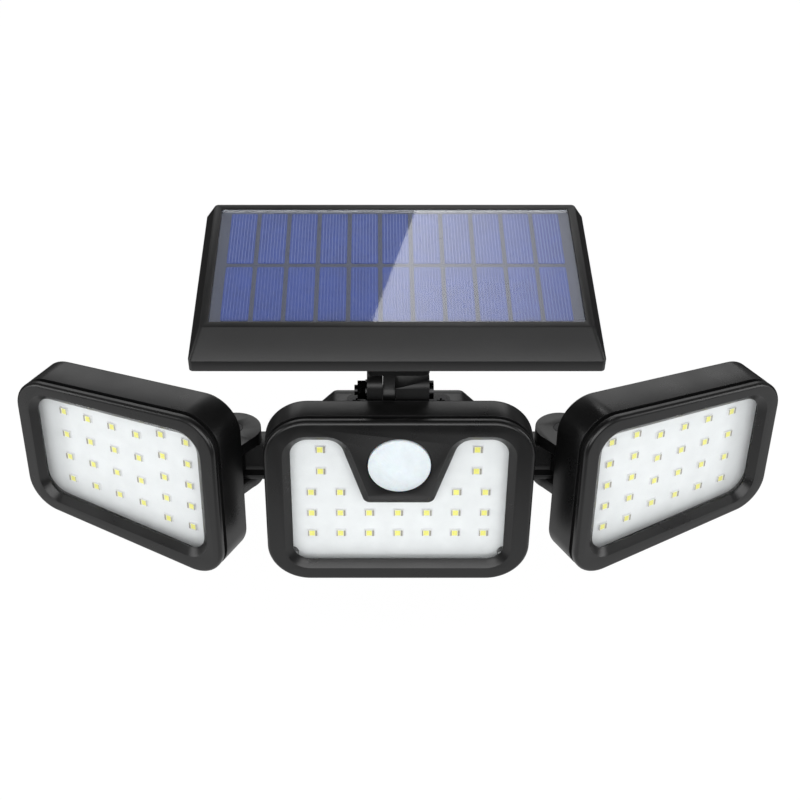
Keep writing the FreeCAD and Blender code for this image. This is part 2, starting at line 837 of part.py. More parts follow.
def control_parts():
    """The chip, terminal, driver, choke and capacitor on the face of the control board."""
    face = lamp_front + lamp_depth - shell_back - control_thick
    bodies = []
    for x, z, width, height, thick in control_blocks.values():
        bodies.append(block((x - width / 2, face - thick, z - height / 2),
                            (x + width / 2, face, z + height / 2)))
    for x, z, radius, thick in control_drums.values():
        bodies.append(rod(radius, Vector(x, face - thick, z), Vector(x, face, z)))
    return Part.makeCompound(bodies)


def mode_button():
    floor = -box_height / 2
    inside = floor + shell_wall + button_free_play
    axis = (0, button_y)
    flange_end = inside + button_flange_thick
    cap = rod(button_radius, Vector(*axis, floor - button_out), Vector(*axis, flange_end))
    flange = rod(button_radius + button_flange, Vector(*axis, inside), Vector(*axis, flange_end))
    stem_end = flange_end + button_stem_length
    stem = rod(button_stem_radius, Vector(*axis, inside), Vector(*axis, stem_end))
    return joined([cap, flange, stem])


def mode_switch():
    """The switch that the button presses; the button's stem runs in its well."""
    top = switch_board_bottom
    bottom = top - switch_height
    half = switch_size / 2
    body = block((-half, button_y - half, bottom), (half, button_y + half, top))
    well = rod(button_stem_radius + screw_clearance, Vector(0, button_y, bottom - 1),
               Vector(0, button_y, top - switch_well_floor))
    return body.cut(well)


def switch_board():
    return block((-switch_board_long / 2, button_y - switch_board_wide / 2, switch_board_bottom),
                 (switch_board_long / 2, button_y + switch_board_wide / 2,
                  switch_board_bottom + switch_board_thick))


# ---- side lamp's own pieces -----------------------------------------------------------------------

def side_shell(lamp):
    """Shell of the left lamp with the two hinge ears, flat on."""
    pin_along = side_pin_along
    root = side_depth - shell_back / 2
    ears = []
    for bottom, top in ((ear_underside, ear_top), (ear_lower_bottom, ear_lower_top)):
        tapered_plate = Part.makePolygon([Vector(pin_along - ear_root_half, root, bottom),
                                          Vector(pin_along + ear_root_half, root, bottom),
                                          Vector(pin_along + ear_radius, side_pin_behind, bottom),
                                          Vector(pin_along - ear_radius, side_pin_behind, bottom),
                                          Vector(pin_along - ear_root_half, root, bottom)])
        ears.append(Part.Face(tapered_plate).extrude(Vector(0, 0, top - bottom)))
        ears.append(rod(ear_radius, Vector(pin_along, side_pin_behind, bottom),
                        Vector(pin_along, side_pin_behind, top)))
    below = Vector(pin_along, side_pin_behind, ear_lower_bottom - 1)
    above = Vector(pin_along, side_pin_behind, ear_top + 1)
    head_seat = Vector(pin_along, side_pin_behind, ear_top - pin_head_height)
    nut_top = Vector(pin_along, side_pin_behind, ear_lower_bottom + pin_nut_height)
    bore = rod(pin_radius + screw_clearance, below, above)
    head_pocket = rod(pin_head_radius + slip_gap, head_seat, above)
    nut_pocket = hexagon(pin_nut_flats + 2 * slip_gap, below, nut_top)
    return without(joined([lamp.shell()] + ears), [bore, head_pocket, nut_pocket])


def pin_screw():
    seat = Vector(side_pin_along, side_pin_behind, ear_top - pin_head_height)
    length = seat.z - ear_lower_bottom
    return screw(seat, Vector(0, 0, -1), pin_radius, length, pin_head_radius, pin_head_height)


def pin_nut():
    bottom = Vector(side_pin_along, side_pin_behind, ear_lower_bottom)
    top = bottom + Vector(0, 0, pin_nut_height)
    hole = rod(pin_radius + screw_clearance, bottom - Vector(0, 0, 1), top + Vector(0, 0, 1))
    return hexagon(pin_nut_flats, bottom, top).cut(hole)


# ---- solar panel ----------------------------------------------------------------------------------

def in_panel(shape):
    """Lay a piece drawn flat on, facing -Y with the far edge up, into the sloping panel."""
    moved = shape.copy()
    moved.rotate(Vector(0, 0, 0), Vector(1, 0, 0), panel_slope - 90)
    moved.translate(Vector(panel_mid_x, panel_mid_y, panel_mid_z))
    return moved


def panel_foot_outline():
    half = panel_top_width / 2 + panel_side_run
    far = panel_top_length / 2 + panel_side_run
    near = -panel_top_length / 2 - panel_front_run
    return Outline([(-half, near), (half, near), (half, far), (-half, far)], panel_corner)


def panel_screw_places():
    half = panel_top_width / 2 + panel_side_run - panel_screw_inset
    far = panel_top_length / 2 + panel_side_run - panel_screw_inset
    near = -panel_top_length / 2 - panel_front_run + panel_screw_inset
    return [(x, v) for x in (-half, half) for v in (near, far)]


def panel_tray():
    top = rectangle(panel_top_width, panel_top_length, panel_corner)
    foot = panel_foot_outline()
    slope = Part.makeLoft([top.wire(0), foot.wire(panel_slope_drop)], True, True)
    lip = foot.prism(panel_slope_drop, panel_bottom)
    pocket = rectangle(glass_width, glass_length, glass_corner).grown(slip_gap)
    pocket_cut = pocket.prism(-1, glass_pocket)
    under = foot.grown(-panel_wall).prism(glass_pocket + tray_web + panel_side_run, panel_bottom + 1)
    upper = rectangle(panel_top_width - 2 * panel_wall, panel_top_length - 2 * panel_wall, panel_corner)
    under_upper = upper.prism(glass_pocket + tray_web, glass_pocket + tray_web + panel_side_run + 1)
    body = without(joined([slope, lip]), [pocket_cut, under, under_upper])
    posts = []
    pilots = []
    for x, v in panel_screw_places():
        posts.append(rod(panel_post_radius, Vector(x, glass_pocket + tray_web, v),
                         Vector(x, panel_bottom - base_cover_thick, v)))
        pilots.append(rod(screw_radius + screw_clearance,
                          Vector(x, panel_bottom - panel_screw_length - 1, v), Vector(x, panel_bottom, v)))
    return in_panel(without(joined([body] + posts), pilots))


def panel_base():
    sheet = panel_foot_outline().grown(-panel_wall - slip_gap)
    plate = sheet.prism(panel_bottom - base_cover_thick, panel_bottom)
    holes = []
    for x, v in panel_screw_places():
        holes.append(rod(screw_radius + screw_clearance, Vector(x, panel_bottom - base_cover_thick - 1, v),
                         Vector(x, panel_bottom + 1, v)))
    for x, v in neck_screw_places():
        holes.append(rod(screw_radius + screw_clearance, Vector(x, panel_bottom - base_cover_thick - 1, v),
                         Vector(x, panel_bottom + 1, v)))
    return in_panel(without(plate, holes))


def panel_screws():
    shapes = []
    for x, v in panel_screw_places():
        shapes.append(screw(Vector(x, panel_bottom, v), Vector(0, -1, 0), screw_radius, panel_screw_length,
                            screw_head_radius, screw_head_height))
    return in_panel(Part.makeCompound(shapes))


def solar_glass():
    sheet = rectangle(glass_width, glass_length, glass_corner)
    return in_panel(sheet.prism(glass_below, glass_below + glass_thick))


def solar_backing():
    front = glass_below + glass_thick + solar_cell_thick
    return in_panel(rectangle(glass_width, glass_length, glass_corner).prism(front, front + backing_thick))


def solar_cells():
    front = glass_below + glass_thick
    back = front + solar_cell_thick
    cell_length_each = (glass_length - 2 * cell_end_margin - cell_gap * (cell_rows - 1)) / cell_rows
    cells = []
    for column in range(cell_columns):
        x = (column - (cell_columns - 1) / 2) * cell_pitch
        for row in range(cell_rows):
            v = (row - (cell_rows - 1) / 2) * (cell_length_each + cell_gap)
            cells.append(block((x - (cell_pitch - cell_gap) / 2, front, v - cell_length_each / 2),
                               (x + (cell_pitch - cell_gap) / 2, back, v + cell_length_each / 2)))
    return in_panel(Part.makeCompound(cells))


# ---- tilt joint -----------------------------------------------------------------------------------

def neck_mid_v():
    """Middle of the neck's plate, along the panel's slope."""
    slope = math.radians(panel_slope)
    under_axis = (tilt_y - panel_mid_y) * math.cos(slope) + (tilt_z - panel_mid_z) * math.sin(slope)
    return under_axis + neck_plate_back


def neck_screw_places():
    mid = neck_mid_v()
    return [(x, mid + v) for x in (-neck_screw_x, neck_screw_x) for v in (-neck_screw_v, neck_screw_v)]


def panel_fork():
    foot = rectangle(fork_foot_long, fork_foot_wide, fork_foot_corner)
    foot_shape = foot.prism(0, fork_foot_thick)
    foot_shape.rotate(Vector(0, 0, 0), Vector(1, 0, 0), 90)
    foot_shape.translate(Vector(0, tilt_y, box_top))
    ears = []
    for left, right in ((fork_left, fork_gap_left), (fork_gap_right, fork_right)):
        ear = block((left, tilt_y - fork_half, box_top + fork_foot_thick / 2),
                    (right, tilt_y + fork_half, tilt_z + fork_rise))
        long_edges = [edge for edge in ear.Edges
                      if abs(edge.BoundBox.XLength - (right - left)) < 0.001
                      and edge.BoundBox.ZMin > tilt_z]
        ears.append(ear.makeFillet(fork_ear_round, long_edges))
    inner = fork_gap_right - cut_over
    outer = fork_right + cut_over
    front = tilt_y - fork_half - cut_over
    top = tilt_z + fork_rise
    slope = Part.makePolygon([Vector(inner, front, top - fork_slope_drop), Vector(outer, front, top),
                              Vector(inner, front, top + cut_over),
                              Vector(inner, front, top - fork_slope_drop)])
    wedge = Part.Face(slope).extrude(Vector(0, 2 * (fork_half + cut_over), 0))
    bore = rod(machine_screw_radius + screw_clearance, Vector(fork_left - 1, tilt_y, tilt_z),
               Vector(fork_right + 1, tilt_y, tilt_z))
    holes = []
    for side in (-1, 1):
        x = side * fork_screw_x
        holes.append(rod(screw_radius + screw_clearance, Vector(x, tilt_y, box_top - 1),
                         Vector(x, tilt_y, box_top + fork_foot_thick + 1)))
    return without(joined([foot_shape] + ears), [wedge, bore] + holes)


def fork_screws():
    shapes = []
    for side in (-1, 1):
        shapes.append(screw(Vector(side * fork_screw_x, tilt_y, box_top + fork_foot_thick), Vector(0, 0, -1),
                            screw_radius, fork_screw_length, screw_head_radius, screw_head_height))
    return Part.makeCompound(shapes)


def tilt_bolt():
    reach = fork_right - fork_left + tilt_bolt_reach
    return screw(Vector(fork_right, tilt_y, tilt_z), Vector(-1, 0, 0), machine_screw_radius, reach,
                 machine_head_radius, tilt_head_height)


def tilt_nut():
    inner = Vector(fork_left - tilt_washer_thick, tilt_y, tilt_z)
    outer = inner - Vector(tilt_nut_height, 0, 0)
    hole = rod(machine_screw_radius + screw_clearance, outer - Vector(1, 0, 0), inner + Vector(1, 0, 0))
    return hexagon(pin_nut_flats, outer, inner).cut(hole)


def tilt_washer():
    washer = rod(tilt_washer_radius, Vector(fork_left - tilt_washer_thick, tilt_y, tilt_z),
                 Vector(fork_left, tilt_y, tilt_z))
    hole = rod(machine_screw_radius + screw_clearance, Vector(fork_left - 1, tilt_y, tilt_z),
               Vector(fork_left + 1, tilt_y, tilt_z))
    return washer.cut(hole)


def panel_neck():
    """Tongue on the tilt bolt, the block above it and the plate that is screwed under the panel."""
    block_bottom = tilt_z + neck_gap
    tongue_disc = rod(tongue_radius, Vector(tongue_left, tilt_y, tilt_z),
                      Vector(tongue_right, tilt_y, tilt_z))
    tongue = block((tongue_left, tilt_y - tongue_radius + tongue_step, tilt_z),
                   (tongue_right, tilt_y + tongue_radius - tongue_step, block_bottom + tongue_root))
    bore = rod(machine_screw_radius + pin_clearance, Vector(tongue_left - 1, tilt_y, tilt_z),
               Vector(tongue_right + 1, tilt_y, tilt_z))
    column = block((fork_left, tilt_y - neck_half, block_bottom),
                   (fork_right, tilt_y + neck_half, panel_mid_z))
    upright = [edge for edge in column.Edges if edge.BoundBox.ZLength > panel_mid_z - block_bottom - 1]
    column = column.makeFillet(neck_corner, upright)
    plate_outline = rectangle(neck_plate_width, neck_plate_length, neck_plate_corner, neck_mid_v())
    plate = in_panel(plate_outline.prism(panel_bottom, panel_bottom + neck_plate_thick))
    above = in_panel(rectangle(panel_top_width, 2 * panel_top_length, panel_corner)
                     .prism(-panel_top_length, panel_bottom))
    holes = []
    for x, v in neck_screw_places():
        holes.append(in_panel(rod(screw_radius + screw_clearance, Vector(x, panel_bottom - 1, v),
                                  Vector(x, panel_bottom + neck_plate_thick + 1, v))))
    return without(joined([tongue_disc, tongue, column.cut(above), plate]), [bore] + holes)


def neck_screws():
    shapes = []
    for x, v in neck_screw_places():
        shapes.append(screw(Vector(x, panel_bottom + neck_plate_thick, v), Vector(0, -1, 0), screw_radius,
                            neck_plate_thick + base_cover_thick + neck_screw_reach,
                            screw_head_radius, screw_head_height))
    return in_panel(Part.makeCompound(shapes))


# ---- everything, written out ----------------------------------------------------------------------

middle = middle_lamp()
write("middle_bezel", middle_bezel(middle))
write("middle_gasket", in_middle(middle.gasket()))
write("middle_lens", in_middle(middle.lens()))
write("middle_led_board", middle_board(middle))
write("middle_leds", in_middle(middle.leds(middle_led_places())))
write("middle_shell", middle_shell(middle))
write("middle_bezel_screws", in_middle(middle.screws()))
write("sensor_dome", sensor_dome())
write("sensor_dome_ring", dome_ring())
write("motion_sensor", sensor_can())
write("control_board", control_board())
write("control_parts", control_parts())
write("battery_cell", battery())
write("battery_clips", battery_clips())
write("mode_button", mode_button())
write("mode_switch", mode_switch())
write("switch_board", switch_board())
write("rear_cover", rear_cover(middle))
write("rear_cover_screws", cover_screws())
write("wall_bracket", wall_bracket())
write("bracket_screws", bracket_screws())

side = side_lamp()
side_pieces = {
    "bezel": side.bezel(),
    "gasket": side.gasket(),
    "lens": side.lens(),
    "led_board": side.board(),
    "leds": side.leds(side_led_places()),
    "shell": side_shell(side),
    "bezel_screws": side.screws(),
    "hinge_pin": pin_screw(),
    "hinge_nut": pin_nut(),
}
for piece_name, flat_piece in side_pieces.items():
    left_piece = on_left_pin(flat_piece)
    write("left_" + piece_name, left_piece)
    write("right_" + piece_name, mirrored(left_piece))

write("panel_tray", panel_tray())
write("panel_base", panel_base())
write("panel_base_screws", panel_screws())
write("solar_glass", solar_glass())
write("solar_cells", solar_cells())
write("solar_backing", solar_backing())
write("panel_neck", panel_neck())
write("neck_screws", neck_screws())
write("panel_fork", panel_fork())
write("fork_screws", fork_screws())
write("tilt_bolt", tilt_bolt())
write("tilt_nut", tilt_nut())
write("tilt_washer", tilt_washer())
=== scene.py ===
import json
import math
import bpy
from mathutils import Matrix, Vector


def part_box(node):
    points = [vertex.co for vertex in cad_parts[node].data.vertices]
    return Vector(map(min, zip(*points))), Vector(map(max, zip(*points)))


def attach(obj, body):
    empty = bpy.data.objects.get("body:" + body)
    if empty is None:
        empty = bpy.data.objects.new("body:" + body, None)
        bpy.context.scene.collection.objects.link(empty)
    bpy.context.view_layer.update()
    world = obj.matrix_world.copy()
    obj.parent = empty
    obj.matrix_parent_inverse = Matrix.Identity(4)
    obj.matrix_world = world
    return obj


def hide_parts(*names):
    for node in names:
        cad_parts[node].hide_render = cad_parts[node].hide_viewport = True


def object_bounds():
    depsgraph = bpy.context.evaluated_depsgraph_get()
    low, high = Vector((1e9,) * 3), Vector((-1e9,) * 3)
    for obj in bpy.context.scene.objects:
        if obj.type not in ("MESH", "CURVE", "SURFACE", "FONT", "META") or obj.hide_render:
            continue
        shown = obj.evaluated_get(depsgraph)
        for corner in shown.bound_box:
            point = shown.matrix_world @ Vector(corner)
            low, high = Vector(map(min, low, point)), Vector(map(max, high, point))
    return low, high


bl_info = {
    "name": "Three-Lamp Solar Security Light",
    "version": (1, 0, 0),
    "blender": (4, 5, 0),
    "location": "3D View > Sidebar > Security Light",
    "description": "Dresses a wall-mounted solar security light and sets up its studio",
    "category": "Object",
}

import bpy
from bpy.props import FloatProperty, FloatVectorProperty, IntProperty, PointerProperty
from mathutils import Matrix, Vector

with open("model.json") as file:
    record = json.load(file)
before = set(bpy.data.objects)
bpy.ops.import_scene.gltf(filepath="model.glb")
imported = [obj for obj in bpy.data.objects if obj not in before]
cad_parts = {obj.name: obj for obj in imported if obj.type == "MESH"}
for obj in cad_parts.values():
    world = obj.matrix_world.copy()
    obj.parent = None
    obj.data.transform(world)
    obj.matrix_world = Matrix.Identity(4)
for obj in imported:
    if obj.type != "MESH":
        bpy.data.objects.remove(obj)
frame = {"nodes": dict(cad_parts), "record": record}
cad_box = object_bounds()

MM = 0.001
MIDDLE_TURN = 0.0

# small sizes of the modelled pieces, which follow the solids or the way the pieces are made
WELD_DISTANCE = 0.002 * MM
FLAT_ANGLE = math.radians(0.3)      # faces nearer than this to one plane are merged
SHARP_ANGLE = math.radians(32)      # edges sharper than this are rounded
SMOOTH_ANGLE = math.radians(34)
EMITTER_THICK = 0.8 * MM
EMITTER_CORNER = 0.15 * MM
CUP_TAPER = 0.94
CELL_THICK = 0.3 * MM
CELL_CORNER = 0.5 * MM
FINGER_RISE = 0.04 * MM             # how far a fine conductor stands above its cell
FINGER_END = 0.3 * MM               # from a conductor's end to the end of its cell
DOME_FLANGE = 1.7 * MM              # rim of the dome behind its ring
DOME_SKIRT = 1.5 * MM               # how far the cap's edge runs back into its hole
DOME_SIDES = 40

# which body each node rides on, so that a piece that stands for a node rides on the same one
BODY_OF = {node: body for body, nodes in frame["record"]["behaviour"]["bodies"].items() for node in nodes}
SLOT_OF = {entry["node"]: entry["material_slot"] for entry in frame["record"]["subparts"]}


# ---- sizes and colours that a user would change ---------------------------------------------------

def length(name, description, default):
    return FloatProperty(name=name, description=description, default=default, unit="LENGTH")


def angle(name, description, degrees):
    return FloatProperty(name=name, description=description, default=math.radians(degrees), subtype="ANGLE")


def colour(name, description, default):
    return FloatVectorProperty(name=name, description=description, default=default, size=3,
                               min=0.0, max=1.0, subtype="COLOR")


class SecurityLightSizes(bpy.types.PropertyGroup):
    """Sizes of the modelled pieces."""
    case_edge: length("Case edge", "Rounding of the moulded pieces' sharp edges", 0.25 * MM)
    tray_edge: length("Tray edge", "Rounding of the panel tray's sharp edges", 0.5 * MM)
    side_turn: angle("Side lamp turn", "How far the side lamps are swung outwards in the stored pose", 27.6)
    panel_slope: angle("Panel slope", "How far the panel rises towards the wall", 10.6)
    led_wall: length("Emitter wall", "White wall round an emitter's cup", 0.1 * MM)
    led_cup: length("Emitter cup", "Depth of an emitter's cup", 0.15 * MM)
    # the grey ends of an emitter are partly a mark and partly painted shade of its side
    led_end_and_shade: length("Emitter end and painted shade", "Width of the marked grey end of an emitter", 0.75 * MM)
    led_far_end_and_shade: length("Emitter far end", "Width of the other grey end of an emitter", 0.35 * MM)
    # the pad's grey rim round each emitter is partly painted shade
    pad_shade_margin: length("Solder pad margin", "How far a solder pad shows round its emitter", 0.45 * MM)
    pad_thick: length("Solder pad thickness", "How far a solder pad stands above the board", 0.05 * MM)
    dome_inset: length("Dome inset", "Gap between the dome's edge and its hole", 0.3 * MM)
    dome_groove: length("Dome groove", "Half the width of the grooves between the dome's lens cells", 0.12 * MM)
    dome_rings: IntProperty(name="Dome rings", description="Rings of lens cells in the dome", default=4)
    finger_pitch: length("Finger pitch", "Distance between the fine conductors on a solar cell", 1.15 * MM)
    finger_width: length("Finger width", "Width of a fine conductor", 0.2 * MM)
    cell_end_margin: length("Cell end margin", "Bare laminate at each end of a solar cell", 0.6 * MM)
    cell_side_margin: length("Cell side margin", "Bare laminate at each side of a solar cell", 0.3 * MM)


class SecurityLightColours(bpy.types.PropertyGroup):
    """Base colours of the materials."""
    case_black: colour("Case", "Black moulded plastic of the lamps", (0.0055, 0.0055, 0.0057))
    tray_black: colour("Panel tray", "Black moulded plastic of the panel", (0.006, 0.006, 0.0063))
    seal_black: colour("Seal", "Rubber of the gaskets", (0.002, 0.002, 0.002))
    board_white: colour("Board", "White solder mask", (0.77, 0.785, 0.775))
    board_green: colour("Control board", "Green solder mask", (0.02, 0.12, 0.05))
    phosphor: colour("Phosphor", "Yellow phosphor of the emitters", (0.86, 0.82, 0.16))
    # painted shade: the grey-brown ends stand partly for the shaded side of each emitter
    emitter_end_and_shade: colour("Emitter end and painted shade", "Grey-brown ends of the emitters", (0.30, 0.28, 0.22))
    # partly painted shade: the pad's grey rim stands for the soft shade round each emitter
    pad_painted_shade: colour("Solder pad", "Pale tinned copper round the emitters", (0.70, 0.70, 0.71))
    dome_white: colour("Dome", "Milky plastic of the sensor dome", (0.665, 0.72, 0.75))
    steel: colour("Steel", "Zinc-plated screws", (0.42, 0.42, 0.43))
    black_steel: colour("Blackened steel", "Blackened screws and pins", (0.035, 0.035, 0.036))
    cell_blue: colour("Solar cell", "Silicon of the solar cells", (0.021, 0.052, 0.26))
    finger_grey: colour("Finger", "Fine conductors of the solar cells", (0.13, 0.17, 0.42))
    backing_grey: colour("Backing", "Laminate between the solar cells", (0.034, 0.040, 0.075))


# ---- shader node groups ---------------------------------------------------------------------------

def group_tree(name, inputs, outputs):
    """An empty shader node group with its sockets, and its input and output nodes."""
    tree = bpy.data.node_groups.new(name, "ShaderNodeTree")
    for socket_name, kind, default in inputs:
        socket = tree.interface.new_socket(socket_name, in_out="INPUT", socket_type=kind)
        if default is not None:
            socket.default_value = default
    for socket_name, kind in outputs:
        tree.interface.new_socket(socket_name, in_out="OUTPUT", socket_type=kind)
    return tree, tree.nodes.new("NodeGroupInput"), tree.nodes.new("NodeGroupOutput")


def math_node(tree, operation, first, second, clamp=False):
    """A Math node on two inputs, each a number or a socket."""
    node = tree.nodes.new("ShaderNodeMath")
    node.operation = operation
    node.use_clamp = clamp
    for socket, value in zip(node.inputs, (first, second)):
        if isinstance(value, (int, float)):
            socket.default_value = value
        else:
            tree.links.new(value, socket)
    return node.outputs[0]


def noise(tree, vector, scale, detail=2.0, roughness=0.5):
    node = tree.nodes.new("ShaderNodeTexNoise")
    node.inputs["Scale"].default_value = scale
    node.inputs["Detail"].default_value = detail
    node.inputs["Roughness"].default_value = roughness
    tree.links.new(vector, node.inputs["Vector"])
    return node.outputs[0]


def remap(tree, value, low, high, to_low, to_high):
    node = tree.nodes.new("ShaderNodeMapRange")
    node.inputs["From Min"].default_value = low
    node.inputs["From Max"].default_value = high
    for socket, limit in ((node.inputs["To Min"], to_low), (node.inputs["To Max"], to_high)):
        if isinstance(limit, (int, float)):
            socket.default_value = limit
        else:
            tree.links.new(limit, socket)
    tree.links.new(value, node.inputs["Value"])
    return node.outputs[0]


def object_coordinates(tree):
    return tree.nodes.new("ShaderNodeTexCoord").outputs["Object"]


def grain_group():
    """Spark-eroded grain of a moulded surface: a fine height, and a slow drift of shade and gloss."""
    tree, into, out = group_tree("Moulded grain", [
        ("Scale", "NodeSocketFloat", 2600.0), ("Drift Scale", "NodeSocketFloat", 55.0)],
        [("Height", "NodeSocketFloat"), ("Shade", "NodeSocketFloat"), ("Gloss", "NodeSocketFloat")])
    place = object_coordinates(tree)
    fine = tree.nodes.new("ShaderNodeTexNoise")
    fine.inputs["Detail"].default_value = 3.0
    tree.links.new(place, fine.inputs["Vector"])
    tree.links.new(into.outputs["Scale"], fine.inputs["Scale"])
    drift = tree.nodes.new("ShaderNodeTexNoise")
    drift.inputs["Detail"].default_value = 4.0
    tree.links.new(place, drift.inputs["Vector"])
    tree.links.new(into.outputs["Drift Scale"], drift.inputs["Scale"])
    tree.links.new(fine.outputs[0], out.inputs["Height"])
    tree.links.new(remap(tree, drift.outputs[0], 0.3, 0.7, 0.88, 1.12), out.inputs["Shade"])
    tree.links.new(remap(tree, drift.outputs[0], 0.3, 0.7, -0.04, 0.04), out.inputs["Gloss"])
    return tree


def edge_rub_highlight_group():
    """A mask that is 1 on outward edges and 0 on flats, broken up a little as handling does; it lightens the
    edges partly as rubbed wear and partly as a painted highlight.
    """
    tree, into, out = group_tree("Edge rub", [("Width", "NodeSocketFloat", 0.0006)],
                                 [("Mask", "NodeSocketFloat")])
    bevel = tree.nodes.new("ShaderNodeBevel")
    bevel.samples = 4
    tree.links.new(into.outputs["Width"], bevel.inputs["Radius"])
    geometry = tree.nodes.new("ShaderNodeNewGeometry")
    dot = tree.nodes.new("ShaderNodeVectorMath")
    dot.operation = "DOT_PRODUCT"
    tree.links.new(bevel.outputs[0], dot.inputs[0])
    tree.links.new(geometry.outputs["Normal"], dot.inputs[1])
    rub_and_highlight = remap(tree, dot.outputs["Value"], 0.99, 0.86, 0.0, 1.0)
    patches = remap(tree, noise(tree, object_coordinates(tree), 260.0, 3.0), 0.4, 0.6, 0.45, 1.0)
    tree.links.new(math_node(tree, "MULTIPLY", rub_and_highlight, patches, clamp=True), out.inputs["Mask"])
    return tree


def dust_group():
    """A faint film on what faces up at rest, thicker in drifts."""
    tree, into, out = group_tree("Settled dust", [("Amount", "NodeSocketFloat", 0.05)],
                                 [("Mask", "NodeSocketFloat")])
    facing = tree.nodes.new("ShaderNodeSeparateXYZ")
    tree.links.new(tree.nodes.new("ShaderNodeTexCoord").outputs["Normal"], facing.inputs[0])
    up = remap(tree, facing.outputs["Z"], 0.35, 0.95, 0.0, 1.0)
    drifts = remap(tree, noise(tree, object_coordinates(tree), 90.0, 5.0, 0.65), 0.35, 0.7, 0.25, 1.0)
    film = math_node(tree, "MULTIPLY", up, drifts)
    tree.links.new(math_node(tree, "MULTIPLY", film, into.outputs["Amount"], clamp=True), out.inputs["Mask"])
    return tree


def add_group(tree, name, maker, **values):
    """Place a shared group, which is built the first time it is asked for."""
    node = tree.nodes.new("ShaderNodeGroup")
    node.node_tree = bpy.data.node_groups.get(name) or maker()
    for socket_name, value in values.items():
        node.inputs[socket_name.replace("_", " ")].default_value = value
    return node


# ---- materials ------------------------------------------------------------------------------------

def new_material(name):
    """A material with only its Principled shader and output."""
    material = bpy.data.materials.new(name)
    material.use_nodes = True
    return material, material.node_tree, material.node_tree.nodes["Principled BSDF"]


def tinted(tree, base, factor):
    """A plain colour multiplied by a value that changes over the surface."""
    node = tree.nodes.new("ShaderNodeVectorMath")
    node.operation = "SCALE"
    node.inputs[0].default_value = tuple(base)
    tree.links.new(factor, node.inputs["Scale"])
    return node.outputs[0]


def mixed(tree, factor, first, second):
    """First colour where the factor is 0 and second where it is 1; each a colour or a socket."""
    node = tree.nodes.new("ShaderNodeMix")
    node.data_type = "RGBA"
    tree.links.new(factor, node.inputs[0])
    for socket, value in ((node.inputs[6], first), (node.inputs[7], second)):
        if hasattr(value, "links"):
            tree.links.new(value, socket)
        else:
            socket.default_value = (*value, 1.0)
    return node.outputs[2]


def bumped(tree, shader, height, distance, strength):
    node = tree.nodes.new("ShaderNodeBump")
    node.inputs["Distance"].default_value = distance
    node.inputs["Strength"].default_value = strength
    tree.links.new(height, node.inputs["Height"])
    tree.links.new(node.outputs[0], shader.inputs["Normal"])


def moulded_plastic(name, base, roughness, specular, rub_highlight_tone, dust=0.012):
    material, tree, shader = new_material(name)
    grain = add_group(tree, "Moulded grain", grain_group)
    edge = add_group(tree, "Edge rub", edge_rub_highlight_group)
    film = add_group(tree, "Settled dust", dust_group, Amount=dust)
    body = tinted(tree, base, grain.outputs["Shade"])
    # lighter outward edges: partly rubbed wear, partly a painted highlight on the rounded edges
    rubbed_and_highlighted = mixed(tree, math_node(tree, "MULTIPLY", edge.outputs["Mask"], 0.5), body, rub_highlight_tone)
    dusty = mixed(tree, film.outputs["Mask"], rubbed_and_highlighted, (0.30, 0.29, 0.27))
    tree.links.new(dusty, shader.inputs["Base Color"])
    tree.links.new(math_node(tree, "ADD", grain.outputs["Gloss"], roughness), shader.inputs["Roughness"])
    shader.inputs["Specular IOR Level"].default_value = specular
    bumped(tree, shader, grain.outputs["Height"], 0.00004, 0.25)
    return material


def rubber(name, base):
    material, tree, shader = new_material(name)
    grain = add_group(tree, "Moulded grain", grain_group, Scale=1500.0)
    tree.links.new(tinted(tree, base, grain.outputs["Shade"]), shader.inputs["Base Color"])
    tree.links.new(math_node(tree, "ADD", grain.outputs["Gloss"], 0.7), shader.inputs["Roughness"])
    shader.inputs["Specular IOR Level"].default_value = 0.2
    bumped(tree, shader, grain.outputs["Height"], 0.00005, 0.4)
    return material


def solder_mask(name, base, roughness=0.42):
    """Solder mask: an even coat with slight clouds and a fine grain."""
    material, tree, shader = new_material(name)
    place = object_coordinates(tree)
    cloud = remap(tree, noise(tree, place, 140.0, 3.0), 0.3, 0.7, 0.965, 1.03)
    tree.links.new(tinted(tree, base, cloud), shader.inputs["Base Color"])
    shader.inputs["Roughness"].default_value = roughness
    bumped(tree, shader, noise(tree, place, 900.0, 2.0), 0.00003, 0.2)
    return material


def phosphor_silicone(name, base):
    material, tree, shader = new_material(name)
    place = object_coordinates(tree)
    specks = remap(tree, noise(tree, place, 5200.0, 2.0), 0.3, 0.7, 0.82, 1.12)
    tree.links.new(tinted(tree, base, specks), shader.inputs["Base Color"])
    shader.inputs["Roughness"].default_value = 0.28
    shader.inputs["Coat Weight"].default_value = 0.4
    bumped(tree, shader, noise(tree, place, 3000.0, 2.0), 0.00003, 0.3)
    return material


def plain_plastic(name, base, roughness=0.4, specular=0.4):
    material, tree, shader = new_material(name)
    place = object_coordinates(tree)
    tree.links.new(tinted(tree, base, remap(tree, noise(tree, place, 400.0, 2.0), 0.3, 0.7, 0.93, 1.06)),
                   shader.inputs["Base Color"])
    shader.inputs["Roughness"].default_value = roughness
    shader.inputs["Specular IOR Level"].default_value = specular
    return material


def milky_plastic(name, base):
    """Polyethylene of the dome: soft inside, with faint moulded cells."""
    material, tree, shader = new_material(name)
    place = object_coordinates(tree)
    cloud = remap(tree, noise(tree, place, 220.0, 3.0), 0.3, 0.7, 0.95, 1.03)
    tree.links.new(tinted(tree, base, cloud), shader.inputs["Base Color"])
    shader.inputs["Roughness"].default_value = 0.38
    shader.inputs["Subsurface Weight"].default_value = 0.25
    shader.inputs["Subsurface Scale"].default_value = 0.0015
    shader.inputs["Specular IOR Level"].default_value = 0.35
    bumped(tree, shader, noise(tree, place, 1500.0, 2.0), 0.00003, 0.3)
    return material


